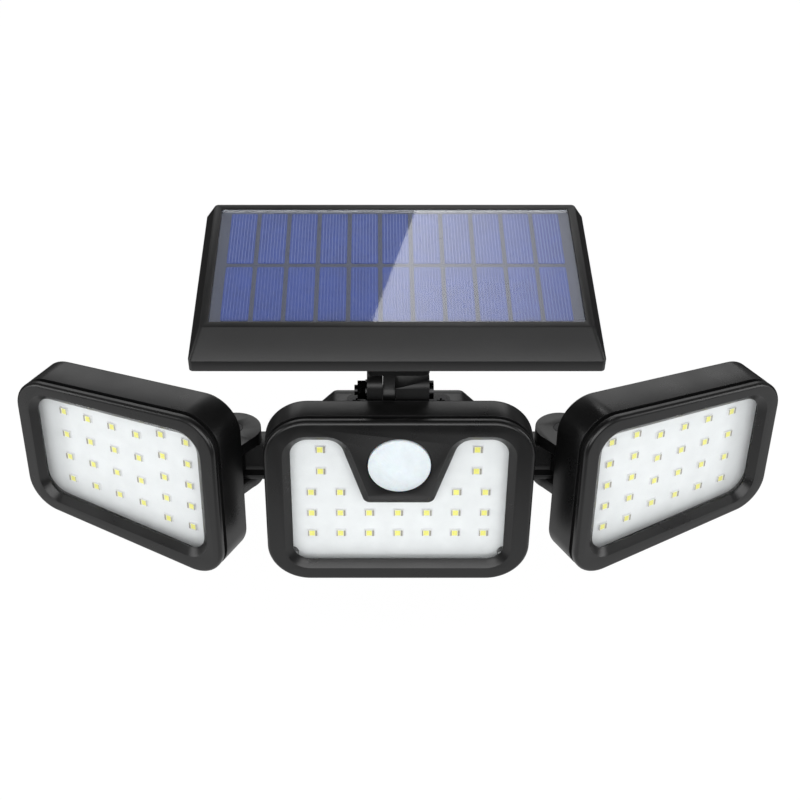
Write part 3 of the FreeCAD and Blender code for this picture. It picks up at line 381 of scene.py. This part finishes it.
def plated_steel(name, base, roughness=0.3):
    material, tree, shader = new_material(name)
    place = object_coordinates(tree)
    shade = remap(tree, noise(tree, place, 900.0, 3.0), 0.3, 0.7, 0.8, 1.1)
    tree.links.new(tinted(tree, base, shade), shader.inputs["Base Color"])
    shader.inputs["Metallic"].default_value = 1.0
    tree.links.new(remap(tree, noise(tree, place, 1600.0, 2.0), 0.3, 0.7, roughness - 0.08, roughness + 0.1),
                   shader.inputs["Roughness"])
    return material


def clear_sheet(name, tint, roughness=0.02, index=1.49):
    """Clear sheet that lets the light through to what it covers."""
    material, tree, shader = new_material(name)
    shader.inputs["Base Color"].default_value = (*tint, 1.0)
    shader.inputs["Transmission Weight"].default_value = 1.0
    shader.inputs["Roughness"].default_value = roughness
    shader.inputs["IOR"].default_value = index
    ripples = noise(tree, object_coordinates(tree), 60.0, 2.0)
    bumped(tree, shader, ripples, 0.00002, 0.15)
    see_through = tree.nodes.new("ShaderNodeBsdfTransparent")
    see_through.inputs["Color"].default_value = (*[0.5 + 0.5 * part for part in tint], 1.0)
    path = tree.nodes.new("ShaderNodeLightPath")
    either = math_node(tree, "MAXIMUM", path.outputs["Is Shadow Ray"], path.outputs["Is Diffuse Ray"])
    blend = tree.nodes.new("ShaderNodeMixShader")
    tree.links.new(either, blend.inputs[0])
    tree.links.new(shader.outputs[0], blend.inputs[1])
    tree.links.new(see_through.outputs[0], blend.inputs[2])
    tree.links.new(blend.outputs[0], tree.nodes["Material Output"].inputs["Surface"])
    return material


def silicon(name, base):
    """Solar silicon: slightly uneven blue with fine crystal flakes."""
    material, tree, shader = new_material(name)
    place = object_coordinates(tree)
    flakes = tree.nodes.new("ShaderNodeTexVoronoi")
    flakes.inputs["Scale"].default_value = 420.0
    tree.links.new(place, flakes.inputs["Vector"])
    split = tree.nodes.new("ShaderNodeSeparateColor")
    tree.links.new(flakes.outputs["Color"], split.inputs[0])
    tone = remap(tree, split.outputs[0], 0.0, 1.0, 0.92, 1.08)
    cloud = remap(tree, noise(tree, place, 70.0, 3.0), 0.3, 0.7, 0.9, 1.1)
    tree.links.new(tinted(tree, base, math_node(tree, "MULTIPLY", tone, cloud)), shader.inputs["Base Color"])
    shader.inputs["Roughness"].default_value = 0.35
    shader.inputs["Specular IOR Level"].default_value = 0.2
    return material


def build_materials(colours):
    """Every finish by name."""
    # tone of the lighter edges: rubbed wear and a painted highlight
    rub_and_highlight = (0.02, 0.02, 0.021)
    return {
        "black_plastic": moulded_plastic("Black ABS", colours.case_black, 0.3, 0.5, rub_and_highlight),
        "panel_plastic": moulded_plastic("Panel ABS", colours.tray_black, 0.36, 0.5, rub_and_highlight),
        "hinge_plastic": moulded_plastic("Hinge nylon", colours.case_black, 0.4, 0.4, rub_and_highlight),
        "bracket_plastic": moulded_plastic("Bracket nylon", colours.case_black, 0.45, 0.4, rub_and_highlight),
        "seal_rubber": rubber("Seal silicone", colours.seal_black),
        "button_rubber": rubber("Button silicone", colours.tray_black),
        "lens_clear": clear_sheet("Lens polycarbonate", (0.98, 0.99, 1.0)),
        "solar_glass": clear_sheet("Panel laminate", (0.93, 0.96, 1.0), roughness=0.03),
        "board_white": solder_mask("White solder mask", colours.board_white),
        "board_green": solder_mask("Green solder mask", colours.board_green, 0.3),
        "led_phosphor": phosphor_silicone("Phosphor", colours.phosphor),
        "led_body": plain_plastic("Emitter body", (0.78, 0.78, 0.74), 0.35),
        # grey ends of the emitters: partly an end mark, partly painted shade
        "led_end_and_shade": plain_plastic("Emitter end and painted shade", colours.emitter_end_and_shade, 0.35),
        # pad colour: tinned copper and partly painted shade round the emitters
        "pad_painted_shade": plain_plastic("Tinned pad and painted shade", colours.pad_painted_shade, 0.4),
        "dome_milky": milky_plastic("Dome polyethylene", colours.dome_white),
        "sensor_metal": plated_steel("Sensor can", colours.steel),
        "screw_steel": plated_steel("Screw steel", colours.steel),
        "black_steel": plated_steel("Blackened steel", colours.black_steel, 0.28),
        "contact_steel": plated_steel("Contact steel", (0.62, 0.61, 0.58)),
        "chip_black": plain_plastic("Moulded epoxy", (0.012, 0.012, 0.012), 0.45),
        "cell_wrap": plain_plastic("Cell wrap", (0.02, 0.06, 0.24), 0.25),
        "solar_silicon": silicon("Silicon", colours.cell_blue),
        "finger": plain_plastic("Silver paste", colours.finger_grey, 0.4),
        "solar_backing": plain_plastic("Laminate backing", colours.backing_grey, 0.4),
    }


MATERIALS = {}


def material_of(name):
    if not MATERIALS:
        MATERIALS.update(build_materials(bpy.context.scene.security_light_colours))
    return MATERIALS[name]


# ---- modelling helpers ----------------------------------------------------------------------------

def deselect():
    if bpy.context.object and bpy.context.object.mode != "OBJECT":
        bpy.ops.object.mode_set(mode="OBJECT")
    bpy.ops.object.select_all(action="DESELECT")


def pick(*objects):
    """Select only these objects; the first is the active one."""
    deselect()
    for one in objects:
        one.select_set(True)
    bpy.context.view_layer.objects.active = objects[0]


def choose_faces(piece, wanted):
    """In edit mode, select the faces whose centre and normal the test wants."""
    bpy.ops.mesh.select_mode(type="FACE")
    bpy.ops.mesh.select_all(action="DESELECT")
    bpy.ops.object.mode_set(mode="OBJECT")
    for face in piece.data.polygons:
        face.select = bool(wanted(face.center, face.normal))
    bpy.ops.object.mode_set(mode="EDIT")


def choose_edges(piece, wanted):
    """In edit mode, select the edges whose two ends the test wants."""
    bpy.ops.mesh.select_mode(type="EDGE")
    bpy.ops.mesh.select_all(action="DESELECT")
    bpy.ops.object.mode_set(mode="OBJECT")
    points = piece.data.vertices
    for edge in piece.data.edges:
        first, second = edge.vertices
        edge.select = bool(wanted(points[first].co, points[second].co))
    bpy.ops.object.mode_set(mode="EDIT")


def place_in_mesh(piece, matrix):
    """Put a piece in its place, with the object itself left at the origin."""
    pick(piece)
    piece.matrix_world = matrix
    bpy.ops.object.transform_apply(location=True, rotation=True, scale=True)


def dress(piece, name, node, finishes):
    """Name a piece, give it its finishes, and let it stand for a node on that node's body."""
    piece.name = name
    piece.data.name = name
    if finishes:
        piece.data.materials.clear()
        for finish in finishes:
            piece.data.materials.append(material_of(finish))
    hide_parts(node)
    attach(piece, BODY_OF[node])


def solids_of(node):
    """The separate solids of a node, each as its lowest and highest corner."""
    mesh = frame["nodes"][node].data
    keys = {}
    parent = []

    def root(index):
        while parent[index] != index:
            parent[index] = parent[parent[index]]
            index = parent[index]
        return index

    ids = []
    for vertex in mesh.vertices:
        key = tuple(round(part, 6) for part in vertex.co)
        if key not in keys:
            keys[key] = len(parent)
            parent.append(len(parent))
        ids.append(keys[key])
    for face in mesh.polygons:
        first = root(ids[face.vertices[0]])
        for index in face.vertices[1:]:
            parent[root(ids[index])] = first
    found = {}
    for key, index in keys.items():
        found.setdefault(root(index), []).append(Vector(key))
    boxes = []
    for points in found.values():
        low = Vector([min(point[axis] for point in points) for axis in range(3)])
        high = Vector([max(point[axis] for point in points) for axis in range(3)])
        boxes.append((low, high))
    return sorted(boxes, key=lambda box: tuple(round(part, 5) for part in box[0]))


def softened(node, edge, segments=3):
    """A merged copy of a node with its sharp edges rounded."""
    source = frame["nodes"][node]
    piece = bpy.data.objects.new(node + "_dressed", source.data.copy())
    bpy.context.scene.collection.objects.link(piece)
    pick(piece)
    bpy.ops.mesh.customdata_custom_splitnormals_clear()
    bpy.ops.object.mode_set(mode="EDIT")
    bpy.ops.mesh.select_all(action="SELECT")
    bpy.ops.mesh.remove_doubles(threshold=WELD_DISTANCE)
    bpy.ops.mesh.dissolve_limited(angle_limit=FLAT_ANGLE)
    bpy.ops.mesh.select_mode(type="EDGE")
    bpy.ops.mesh.select_all(action="DESELECT")
    bpy.ops.mesh.edges_select_sharp(sharpness=SHARP_ANGLE)
    bpy.ops.mesh.bevel(offset=edge, segments=segments, affect="EDGES", clamp_overlap=True)
    bpy.ops.object.mode_set(mode="OBJECT")
    bpy.ops.object.shade_smooth_by_angle(angle=SMOOTH_ANGLE)
    return piece


# ---- operators ------------------------------------------------------------------------------------

MOULDED = {
    "middle_bezel": "black_plastic",
    "left_bezel": "black_plastic",
    "right_bezel": "black_plastic",
    "middle_shell": "black_plastic",
    "left_shell": "black_plastic",
    "right_shell": "black_plastic",
    "rear_cover": "black_plastic",
    "wall_bracket": "bracket_plastic",
    "panel_tray": "panel_plastic",
    "panel_base": "panel_plastic",
    "panel_neck": "hinge_plastic",
    "panel_fork": "hinge_plastic",
}


class SECLIGHT_OT_moulded_cases(bpy.types.Operator):
    """Round the edges of the moulded cases and give them their grained plastic"""
    bl_idname = "seclight.moulded_cases"
    bl_label = "Moulded Cases"

    def execute(self, context):
        sizes = context.scene.security_light_sizes
        for node, finish in MOULDED.items():
            piece = softened(node, sizes.tray_edge if node == "panel_tray" else sizes.case_edge)
            dress(piece, node + "_moulded", node, [finish])
        return {"FINISHED"}


BLACKENED = ("left_hinge_pin", "right_hinge_pin", "left_hinge_nut", "right_hinge_nut", "fork_screws",
             "tilt_bolt", "tilt_nut", "tilt_washer")


class SECLIGHT_OT_kept_pieces(bpy.types.Operator):
    """Give the finishes to the pieces whose solids already have the right shape"""
    bl_idname = "seclight.kept_pieces"
    bl_label = "Kept Pieces"

    def execute(self, context):
        for node, piece in frame["nodes"].items():
            finish = "black_steel" if node in BLACKENED else SLOT_OF[node]
            piece.data.materials.clear()
            piece.data.materials.append(material_of(finish))
        return {"FINISHED"}


def block_piece(width, depth, height, finishes):
    """A block about the origin with its slots of material."""
    bpy.ops.mesh.primitive_cube_add(size=1.0)
    piece = bpy.context.object
    piece.scale = (width, depth, height)
    bpy.ops.object.transform_apply(location=True, rotation=True, scale=True)
    for finish in finishes:
        piece.data.materials.append(material_of(finish))
    return piece


def repeated(first, places):
    """Copies of a piece at these places, each with its own mesh, joined as one piece."""
    copies = []
    for place in places:
        one = first.copy()
        one.data = first.data.copy()
        bpy.context.scene.collection.objects.link(one)
        place_in_mesh(one, place)
        copies.append(one)
    bpy.data.objects.remove(first)
    pick(*copies)
    bpy.ops.object.join()
    return copies[0]


def give_slot(piece, index):
    """In edit mode, give the selected faces one of the piece's materials."""
    piece.active_material_index = index
    bpy.ops.object.material_slot_assign()


def emitter(sizes, width, thick, height, mark_and_shade_side):
    """One package facing -Y about the origin: a cup of phosphor between two grey ends, on its pad. The
    grey-brown ends are partly an end mark and partly painted shade of the package's side; the pad's grey rim
    round the package is partly painted shade.
    """
    body = block_piece(width, thick, height, ("led_body", "led_phosphor", "led_end_and_shade", "pad_painted_shade"))
    bpy.ops.object.mode_set(mode="EDIT")
    choose_edges(body, lambda a, b: abs(a.y - b.y) > thick / 2)
    bpy.ops.mesh.bevel(offset=EMITTER_CORNER, segments=2, affect="EDGES")
    # cuts for the grey ends, which are partly an end mark and partly painted shade of the emitter's side
    marked = mark_and_shade_side * (width / 2 - sizes.led_end_and_shade)
    other = mark_and_shade_side * (sizes.led_far_end_and_shade - width / 2)
    for place in (marked, other):
        choose_faces(body, lambda centre, normal: normal.y < -0.9)
        bpy.ops.mesh.bisect(plane_co=(place, 0, 0), plane_no=(1, 0, 0))
    near, far = sorted((marked, other))
    choose_faces(body, lambda centre, normal: normal.y < -0.9 and not near < centre.x < far)
    give_slot(body, 2)
    choose_faces(body, lambda centre, normal: normal.y < -0.9 and near < centre.x < far)
    bpy.ops.mesh.inset(thickness=sizes.led_wall)
    bpy.ops.mesh.extrude_region_move(TRANSFORM_OT_translate={"value": (0, sizes.led_cup, 0)})
    bpy.ops.transform.resize(value=(CUP_TAPER, 1, CUP_TAPER), center_override=((near + far) / 2, 0, 0))
    give_slot(body, 1)
    bpy.ops.object.mode_set(mode="OBJECT")
    # pad: a grey rim round the emitter, partly painted shade
    pad = block_piece(width + 2 * sizes.pad_shade_margin, sizes.pad_thick, height + 2 * sizes.pad_shade_margin,
                      ("pad_painted_shade",))
    place_in_mesh(pad, Matrix.Translation((0, (thick - sizes.pad_thick) / 2, 0)))
    pick(body, pad)
    bpy.ops.object.join()
    return body


def emitter_row(node, turn, mark_and_shade_side, sizes):
    """All emitters of one lamp, one for each solid of the node, as one piece."""
    boxes = solids_of(node)
    low, high = boxes[0]
    wide = ((high.x - low.x) - abs(math.sin(turn)) * EMITTER_THICK) / math.cos(turn)
    first = emitter(sizes, wide, EMITTER_THICK, high.z - low.z, mark_and_shade_side)
    turned = Matrix.Rotation(turn, 4, "Z")
    return repeated(first, [Matrix.Translation((low + high) / 2) @ turned for low, high in boxes])


class SECLIGHT_OT_emitters(bpy.types.Operator):
    """Model the emitter packages of the three lamps"""
    bl_idname = "seclight.emitters"
    bl_label = "Emitters"

    def execute(self, context):
        sizes = context.scene.security_light_sizes
        lamps = (("middle", MIDDLE_TURN, 1), ("left", -sizes.side_turn, -1), ("right", sizes.side_turn, 1))
        for lamp, turn, mark_and_shade_side in lamps:
            piece = emitter_row(lamp + "_leds", turn, mark_and_shade_side, sizes)
            dress(piece, lamp + "_emitters", lamp + "_leds", None)
        return {"FINISHED"}


class SECLIGHT_OT_sensor_dome(bpy.types.Operator):
    """Model the sensor's dome as a shallow cap with rings of lens cells"""
    bl_idname = "seclight.sensor_dome"
    bl_label = "Sensor Dome"

    def execute(self, context):
        sizes = context.scene.security_light_sizes
        low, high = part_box("sensor_dome")
        bezel_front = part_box("middle_bezel")[0].y
        radius = (high.x - low.x) / 2 - DOME_FLANGE - sizes.dome_inset
        rise = bezel_front - low.y
        ball = (radius * radius + rise * rise) / (2 * rise)
        centre = Vector(((low.x + high.x) / 2, low.y + ball, (low.z + high.z) / 2))
        step = math.asin(radius / ball) / (sizes.dome_rings + 0.5)
        bpy.ops.mesh.primitive_uv_sphere_add(segments=DOME_SIDES, ring_count=round(math.pi / step), radius=ball)
        dome = bpy.context.object
        place_in_mesh(dome, Matrix.Translation(centre) @ Matrix.Rotation(math.radians(90), 4, "X"))
        bpy.ops.object.mode_set(mode="EDIT")
        bpy.ops.mesh.select_all(action="SELECT")
        bpy.ops.mesh.bisect(plane_co=(0, bezel_front, 0), plane_no=(0, 1, 0), clear_outer=True)
        bpy.ops.mesh.select_all(action="SELECT")
        bpy.ops.mesh.inset(thickness=sizes.dome_groove, depth=sizes.dome_groove / 2, use_individual=True)
        bpy.ops.mesh.select_all(action="DESELECT")
        choose_edges(dome, lambda a, b: min(a.y, b.y) > bezel_front - 0.01 * MM)
        bpy.ops.mesh.extrude_region_move(TRANSFORM_OT_translate={"value": (0, DOME_SKIRT, 0)})
        bpy.ops.object.mode_set(mode="OBJECT")
        bpy.ops.object.shade_smooth_by_angle(angle=math.radians(50))
        dress(dome, "sensor_dome_lens", "sensor_dome", ["dome_milky"])
        return {"FINISHED"}


def solar_cell(sizes, wide, long):
    """One cell lying flat about the origin, with cut corners and its fine conductors."""
    slab_thick = CELL_THICK - FINGER_RISE
    slab = block_piece(wide, long, slab_thick, ("solar_silicon", "finger"))
    bpy.ops.object.mode_set(mode="EDIT")
    choose_edges(slab, lambda a, b: abs(a.z - b.z) > slab_thick / 2)
    bpy.ops.mesh.bevel(offset=CELL_CORNER, segments=1, affect="EDGES")
    bpy.ops.object.mode_set(mode="OBJECT")
    place_in_mesh(slab, Matrix.Translation((0, 0, -FINGER_RISE / 2)))
    bars = []
    count = int(wide / sizes.finger_pitch)
    for index in range(count):
        bar = block_piece(sizes.finger_width, long - 2 * FINGER_END, FINGER_RISE, ("finger",))
        across = (index - (count - 1) / 2) * sizes.finger_pitch
        place_in_mesh(bar, Matrix.Translation((across, 0, slab_thick / 2)))
        bars.append(bar)
    pick(slab, *bars)
    bpy.ops.object.join()
    return slab


class SECLIGHT_OT_solar_cells(bpy.types.Operator):
    """Model the solar cells with their fine conductors"""
    bl_idname = "seclight.solar_cells"
    bl_label = "Solar Cells"

    def execute(self, context):
        sizes = context.scene.security_light_sizes
        slope = Matrix.Rotation(sizes.panel_slope, 4, "X")
        boxes = solids_of("solar_cells")
        low, high = boxes[0]
        wide = high.x - low.x
        long = ((high.y - low.y) - CELL_THICK * math.sin(sizes.panel_slope)) / math.cos(sizes.panel_slope)
        first = solar_cell(sizes, wide - 2 * sizes.cell_side_margin, long - 2 * sizes.cell_end_margin)
        cells = repeated(first, [Matrix.Translation((low + high) / 2) @ slope for low, high in boxes])
        dress(cells, "solar_cells_printed", "solar_cells", None)
        return {"FINISHED"}


# ---- studio ---------------------------------------------------------------------------------------

CAMERA_AT = Vector((-10.0, -502.9, 351.8)) * MM
CAMERA_DOWN = math.radians(33.83)
CAMERA_LENS = 64.16
CAMERA_SHIFT = 0.0341

# the soft boxes: azimuth from the front to the right, elevation, distance, width, height, radiance
SOFT_BOXES = {
    "front_fill": (0, 20, 1.4, 1.9, 1.0, 2.8),
    "key": (0, 58, 1.4, 1.3, 0.4, 1.05),
    "back": (180, 29, 1.4, 1.5, 0.52, 1.15),
    "left_strip": (-78, 12, 1.3, 0.35, 0.9, 3.7),
    "right_strip": (78, 12, 1.3, 0.35, 0.9, 3.7),
}

# where the edge of the glare crosses the panel's glass, from the panel's middle
GLARE_FAR_X = 7.8 * MM
GLARE_NEAR_X = -8.6 * MM
GLARE_HALF_LONG = 32.0 * MM
GLARE_REACH = 1.2           # how far past the glass the card is, in parts of the camera's distance
GLARE_SPARE = 1.1           # the card's length against the glass's
GLARE_LEFT = 5.0            # brightness at the slanting edge
GLARE_RIGHT = 1.0           # brightness at the right edge


AIM = Vector((0, -50, 30)) * MM      # what the soft boxes face
FLOOR_DROP = 60 * MM                # from the lowest point of the light to the floor
FLOOR_SIZE = 8.0
FLOOR_WHITE = 1.05
FLOOR_WHITE_SHARE = 0.9             # the rest of what the camera sees of the floor is lit, and takes the shadow
WORLD_FILL = 0.45
WORLD_GLOSS = 0.15
# how bright the floor is in reflections, along Y: each a start, an end, and the brightness at both
FLOOR_FRONT = (-0.28, -0.19, 0.0, 0.78)
FLOOR_BACK = (-0.05, 0.05, 1.05, 0.04)


def soft_box(name, azimuth, elevation, distance, width, height, radiance):
    """An area light at a place round the light, facing its middle, at a given radiance."""
    turn, rise = math.radians(azimuth), math.radians(elevation)
    way = Vector((math.sin(turn) * math.cos(rise), -math.cos(turn) * math.cos(rise), math.sin(rise)))
    light = bpy.data.lights.new(name, "AREA")
    light.shape = "RECTANGLE"
    light.size, light.size_y = width, height
    light.energy = math.pi * width * height * radiance
    lamp = bpy.data.objects.new(name, light)
    bpy.context.scene.collection.objects.link(lamp)
    lamp.location = AIM + way * distance
    lamp.rotation_euler = (-way).to_track_quat("-Z", "Y").to_euler()


def emission(tree, strength):
    """White light of a strength that is a number or a socket."""
    node = tree.nodes.new("ShaderNodeEmission")
    if isinstance(strength, float):
        node.inputs["Strength"].default_value = strength
    else:
        tree.links.new(strength, node.inputs["Strength"])
    return node.outputs[0]


def blended(tree, share, first, second):
    node = tree.nodes.new("ShaderNodeMixShader")
    for socket, value in zip(node.inputs, (share, first, second)):
        tree.links.new(value, socket)
    return node.outputs[0]


def along_axis(tree, axis):
    split = tree.nodes.new("ShaderNodeSeparateXYZ")
    tree.links.new(object_coordinates(tree), split.inputs[0])
    return split.outputs[axis]


def floor_material():
    """Pale floor: white to the camera but for its soft shadow, and dark behind the light in reflections."""
    material, tree, shader = new_material("Studio floor")
    shader.inputs["Base Color"].default_value = (0.8, 0.8, 0.8, 1.0)
    shader.inputs["Roughness"].default_value = 0.9
    shader.inputs["Specular IOR Level"].default_value = 0.0
    path = tree.nodes.new("ShaderNodeLightPath")
    seen = math_node(tree, "MAXIMUM", path.outputs["Is Camera Ray"], path.outputs["Is Transmission Ray"])
    share = math_node(tree, "MULTIPLY", seen, FLOOR_WHITE_SHARE)
    lit = blended(tree, share, shader.outputs[0], emission(tree, FLOOR_WHITE))
    place = along_axis(tree, "Y")
    fade = math_node(tree, "MINIMUM", remap(tree, place, *FLOOR_FRONT), remap(tree, place, *FLOOR_BACK))
    mirrored = blended(tree, path.outputs["Is Glossy Ray"], lit, emission(tree, fade))
    tree.links.new(mirrored, tree.nodes["Material Output"].inputs["Surface"])
    return material


def studio_world():
    """White where the camera and glass see it, dim in gloss, and a low even fill elsewhere."""
    world = bpy.data.worlds.new("Studio")
    world.use_nodes = True
    tree = world.node_tree
    background = tree.nodes["Background"]
    background.inputs["Color"].default_value = (1.0, 1.0, 1.0, 1.0)
    path = tree.nodes.new("ShaderNodeLightPath")
    seen = math_node(tree, "MAXIMUM", path.outputs["Is Camera Ray"], path.outputs["Is Transmission Ray"])
    strength = remap(tree, path.outputs["Is Glossy Ray"], 0.0, 1.0, WORLD_FILL, WORLD_GLOSS)
    tree.links.new(math_node(tree, "MAXIMUM", seen, strength), background.inputs["Strength"])
    bpy.context.scene.world = world


def glare_card(slope):
    """A bright card that only the panel's glass mirrors, with a slanting left edge, fading to the right."""
    low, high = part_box("solar_glass")
    middle = (low + high) / 2
    normal = slope @ Vector((0, 0, 1))
    mirrored_camera = CAMERA_AT - 2 * (CAMERA_AT - middle).dot(normal) * normal
    centre = middle + (middle - mirrored_camera) * GLARE_REACH
    grown = 1 + GLARE_REACH
    half_wide = grown * (high.x - low.x) / 2
    half_long = grown * GLARE_HALF_LONG
    bpy.ops.mesh.primitive_plane_add(size=2.0)
    card = bpy.context.object
    card.scale = (half_wide, half_long * GLARE_SPARE, 1)
    bpy.ops.object.transform_apply(location=True, rotation=True, scale=True)
    bpy.ops.object.mode_set(mode="EDIT")
    bpy.ops.mesh.select_all(action="SELECT")
    slant = Vector((grown * (GLARE_FAR_X - GLARE_NEAR_X), 2 * half_long, 0))
    bpy.ops.mesh.bisect(plane_co=(grown * GLARE_NEAR_X, -half_long, 0), plane_no=(-slant.y, slant.x, 0),
                        clear_outer=True)
    bpy.ops.object.mode_set(mode="OBJECT")
    place_in_mesh(card, Matrix.Translation(centre) @ slope.to_4x4())
    card.name = "glare_card"
    material, tree, _ = new_material("Glare card")
    fade = remap(tree, along_axis(tree, "X"), centre.x, centre.x + half_wide, GLARE_LEFT, GLARE_RIGHT)
    tree.links.new(emission(tree, fade), tree.nodes["Material Output"].inputs["Surface"])
    card.data.materials.append(material)
    for ray in ("camera", "diffuse", "transmission", "volume_scatter", "shadow"):
        setattr(card, "visible_" + ray, False)


class SECLIGHT_OT_stage(bpy.types.Operator):
    """Set up the floor, the lights and the camera"""
    bl_idname = "seclight.stage"
    bl_label = "Studio Stage"

    def execute(self, context):
        floor_level = cad_box[0].z - FLOOR_DROP
        deselect()
        bpy.ops.mesh.primitive_plane_add(size=FLOOR_SIZE, location=(0, 0, floor_level))
        floor = context.object
        floor.name = "studio_floor"
        floor.data.materials.append(floor_material())
        studio_world()
        for name, values in SOFT_BOXES.items():
            soft_box(name, *values)
        glare_card(Matrix.Rotation(context.scene.security_light_sizes.panel_slope, 3, "X"))
        camera_data = bpy.data.cameras.new("photo_camera")
        camera_data.lens = CAMERA_LENS
        camera_data.sensor_width = 36.0
        camera_data.shift_x = CAMERA_SHIFT
        camera_data.clip_start = 0.01
        camera = bpy.data.objects.new("photo_camera", camera_data)
        context.scene.collection.objects.link(camera)
        camera.location = CAMERA_AT
        camera.rotation_euler = (math.radians(90) - CAMERA_DOWN, 0, 0)
        context.scene.camera = camera
        context.scene.view_settings.view_transform = "Standard"
        return {"FINISHED"}


OPERATORS = (
    SECLIGHT_OT_kept_pieces,
    SECLIGHT_OT_moulded_cases,
    SECLIGHT_OT_emitters,
    SECLIGHT_OT_sensor_dome,
    SECLIGHT_OT_solar_cells,
    SECLIGHT_OT_stage,
)


class SECLIGHT_PT_panel(bpy.types.Panel):
    """Lists the steps that dress the light"""
    bl_idname = "SECLIGHT_PT_panel"
    bl_label = "Security Light"
    bl_space_type = "VIEW_3D"
    bl_region_type = "UI"
    bl_category = "Security Light"

    def draw(self, context):
        for operator in OPERATORS:
            self.layout.operator(operator.bl_idname)


CLASSES = (SecurityLightSizes, SecurityLightColours, *OPERATORS, SECLIGHT_PT_panel)


def register():
    for one in CLASSES:
        bpy.utils.register_class(one)
    bpy.types.Scene.security_light_sizes = PointerProperty(type=SecurityLightSizes)
    bpy.types.Scene.security_light_colours = PointerProperty(type=SecurityLightColours)


def unregister():
    del bpy.types.Scene.security_light_colours
    del bpy.types.Scene.security_light_sizes
    for one in reversed(CLASSES):
        bpy.utils.unregister_class(one)


def main():
    register()
    bpy.ops.seclight.kept_pieces()
    bpy.ops.seclight.moulded_cases()
    bpy.ops.seclight.emitters()
    bpy.ops.seclight.sensor_dome()
    bpy.ops.seclight.solar_cells()
    bpy.ops.seclight.stage()


if __name__ == "__main__":
    main()
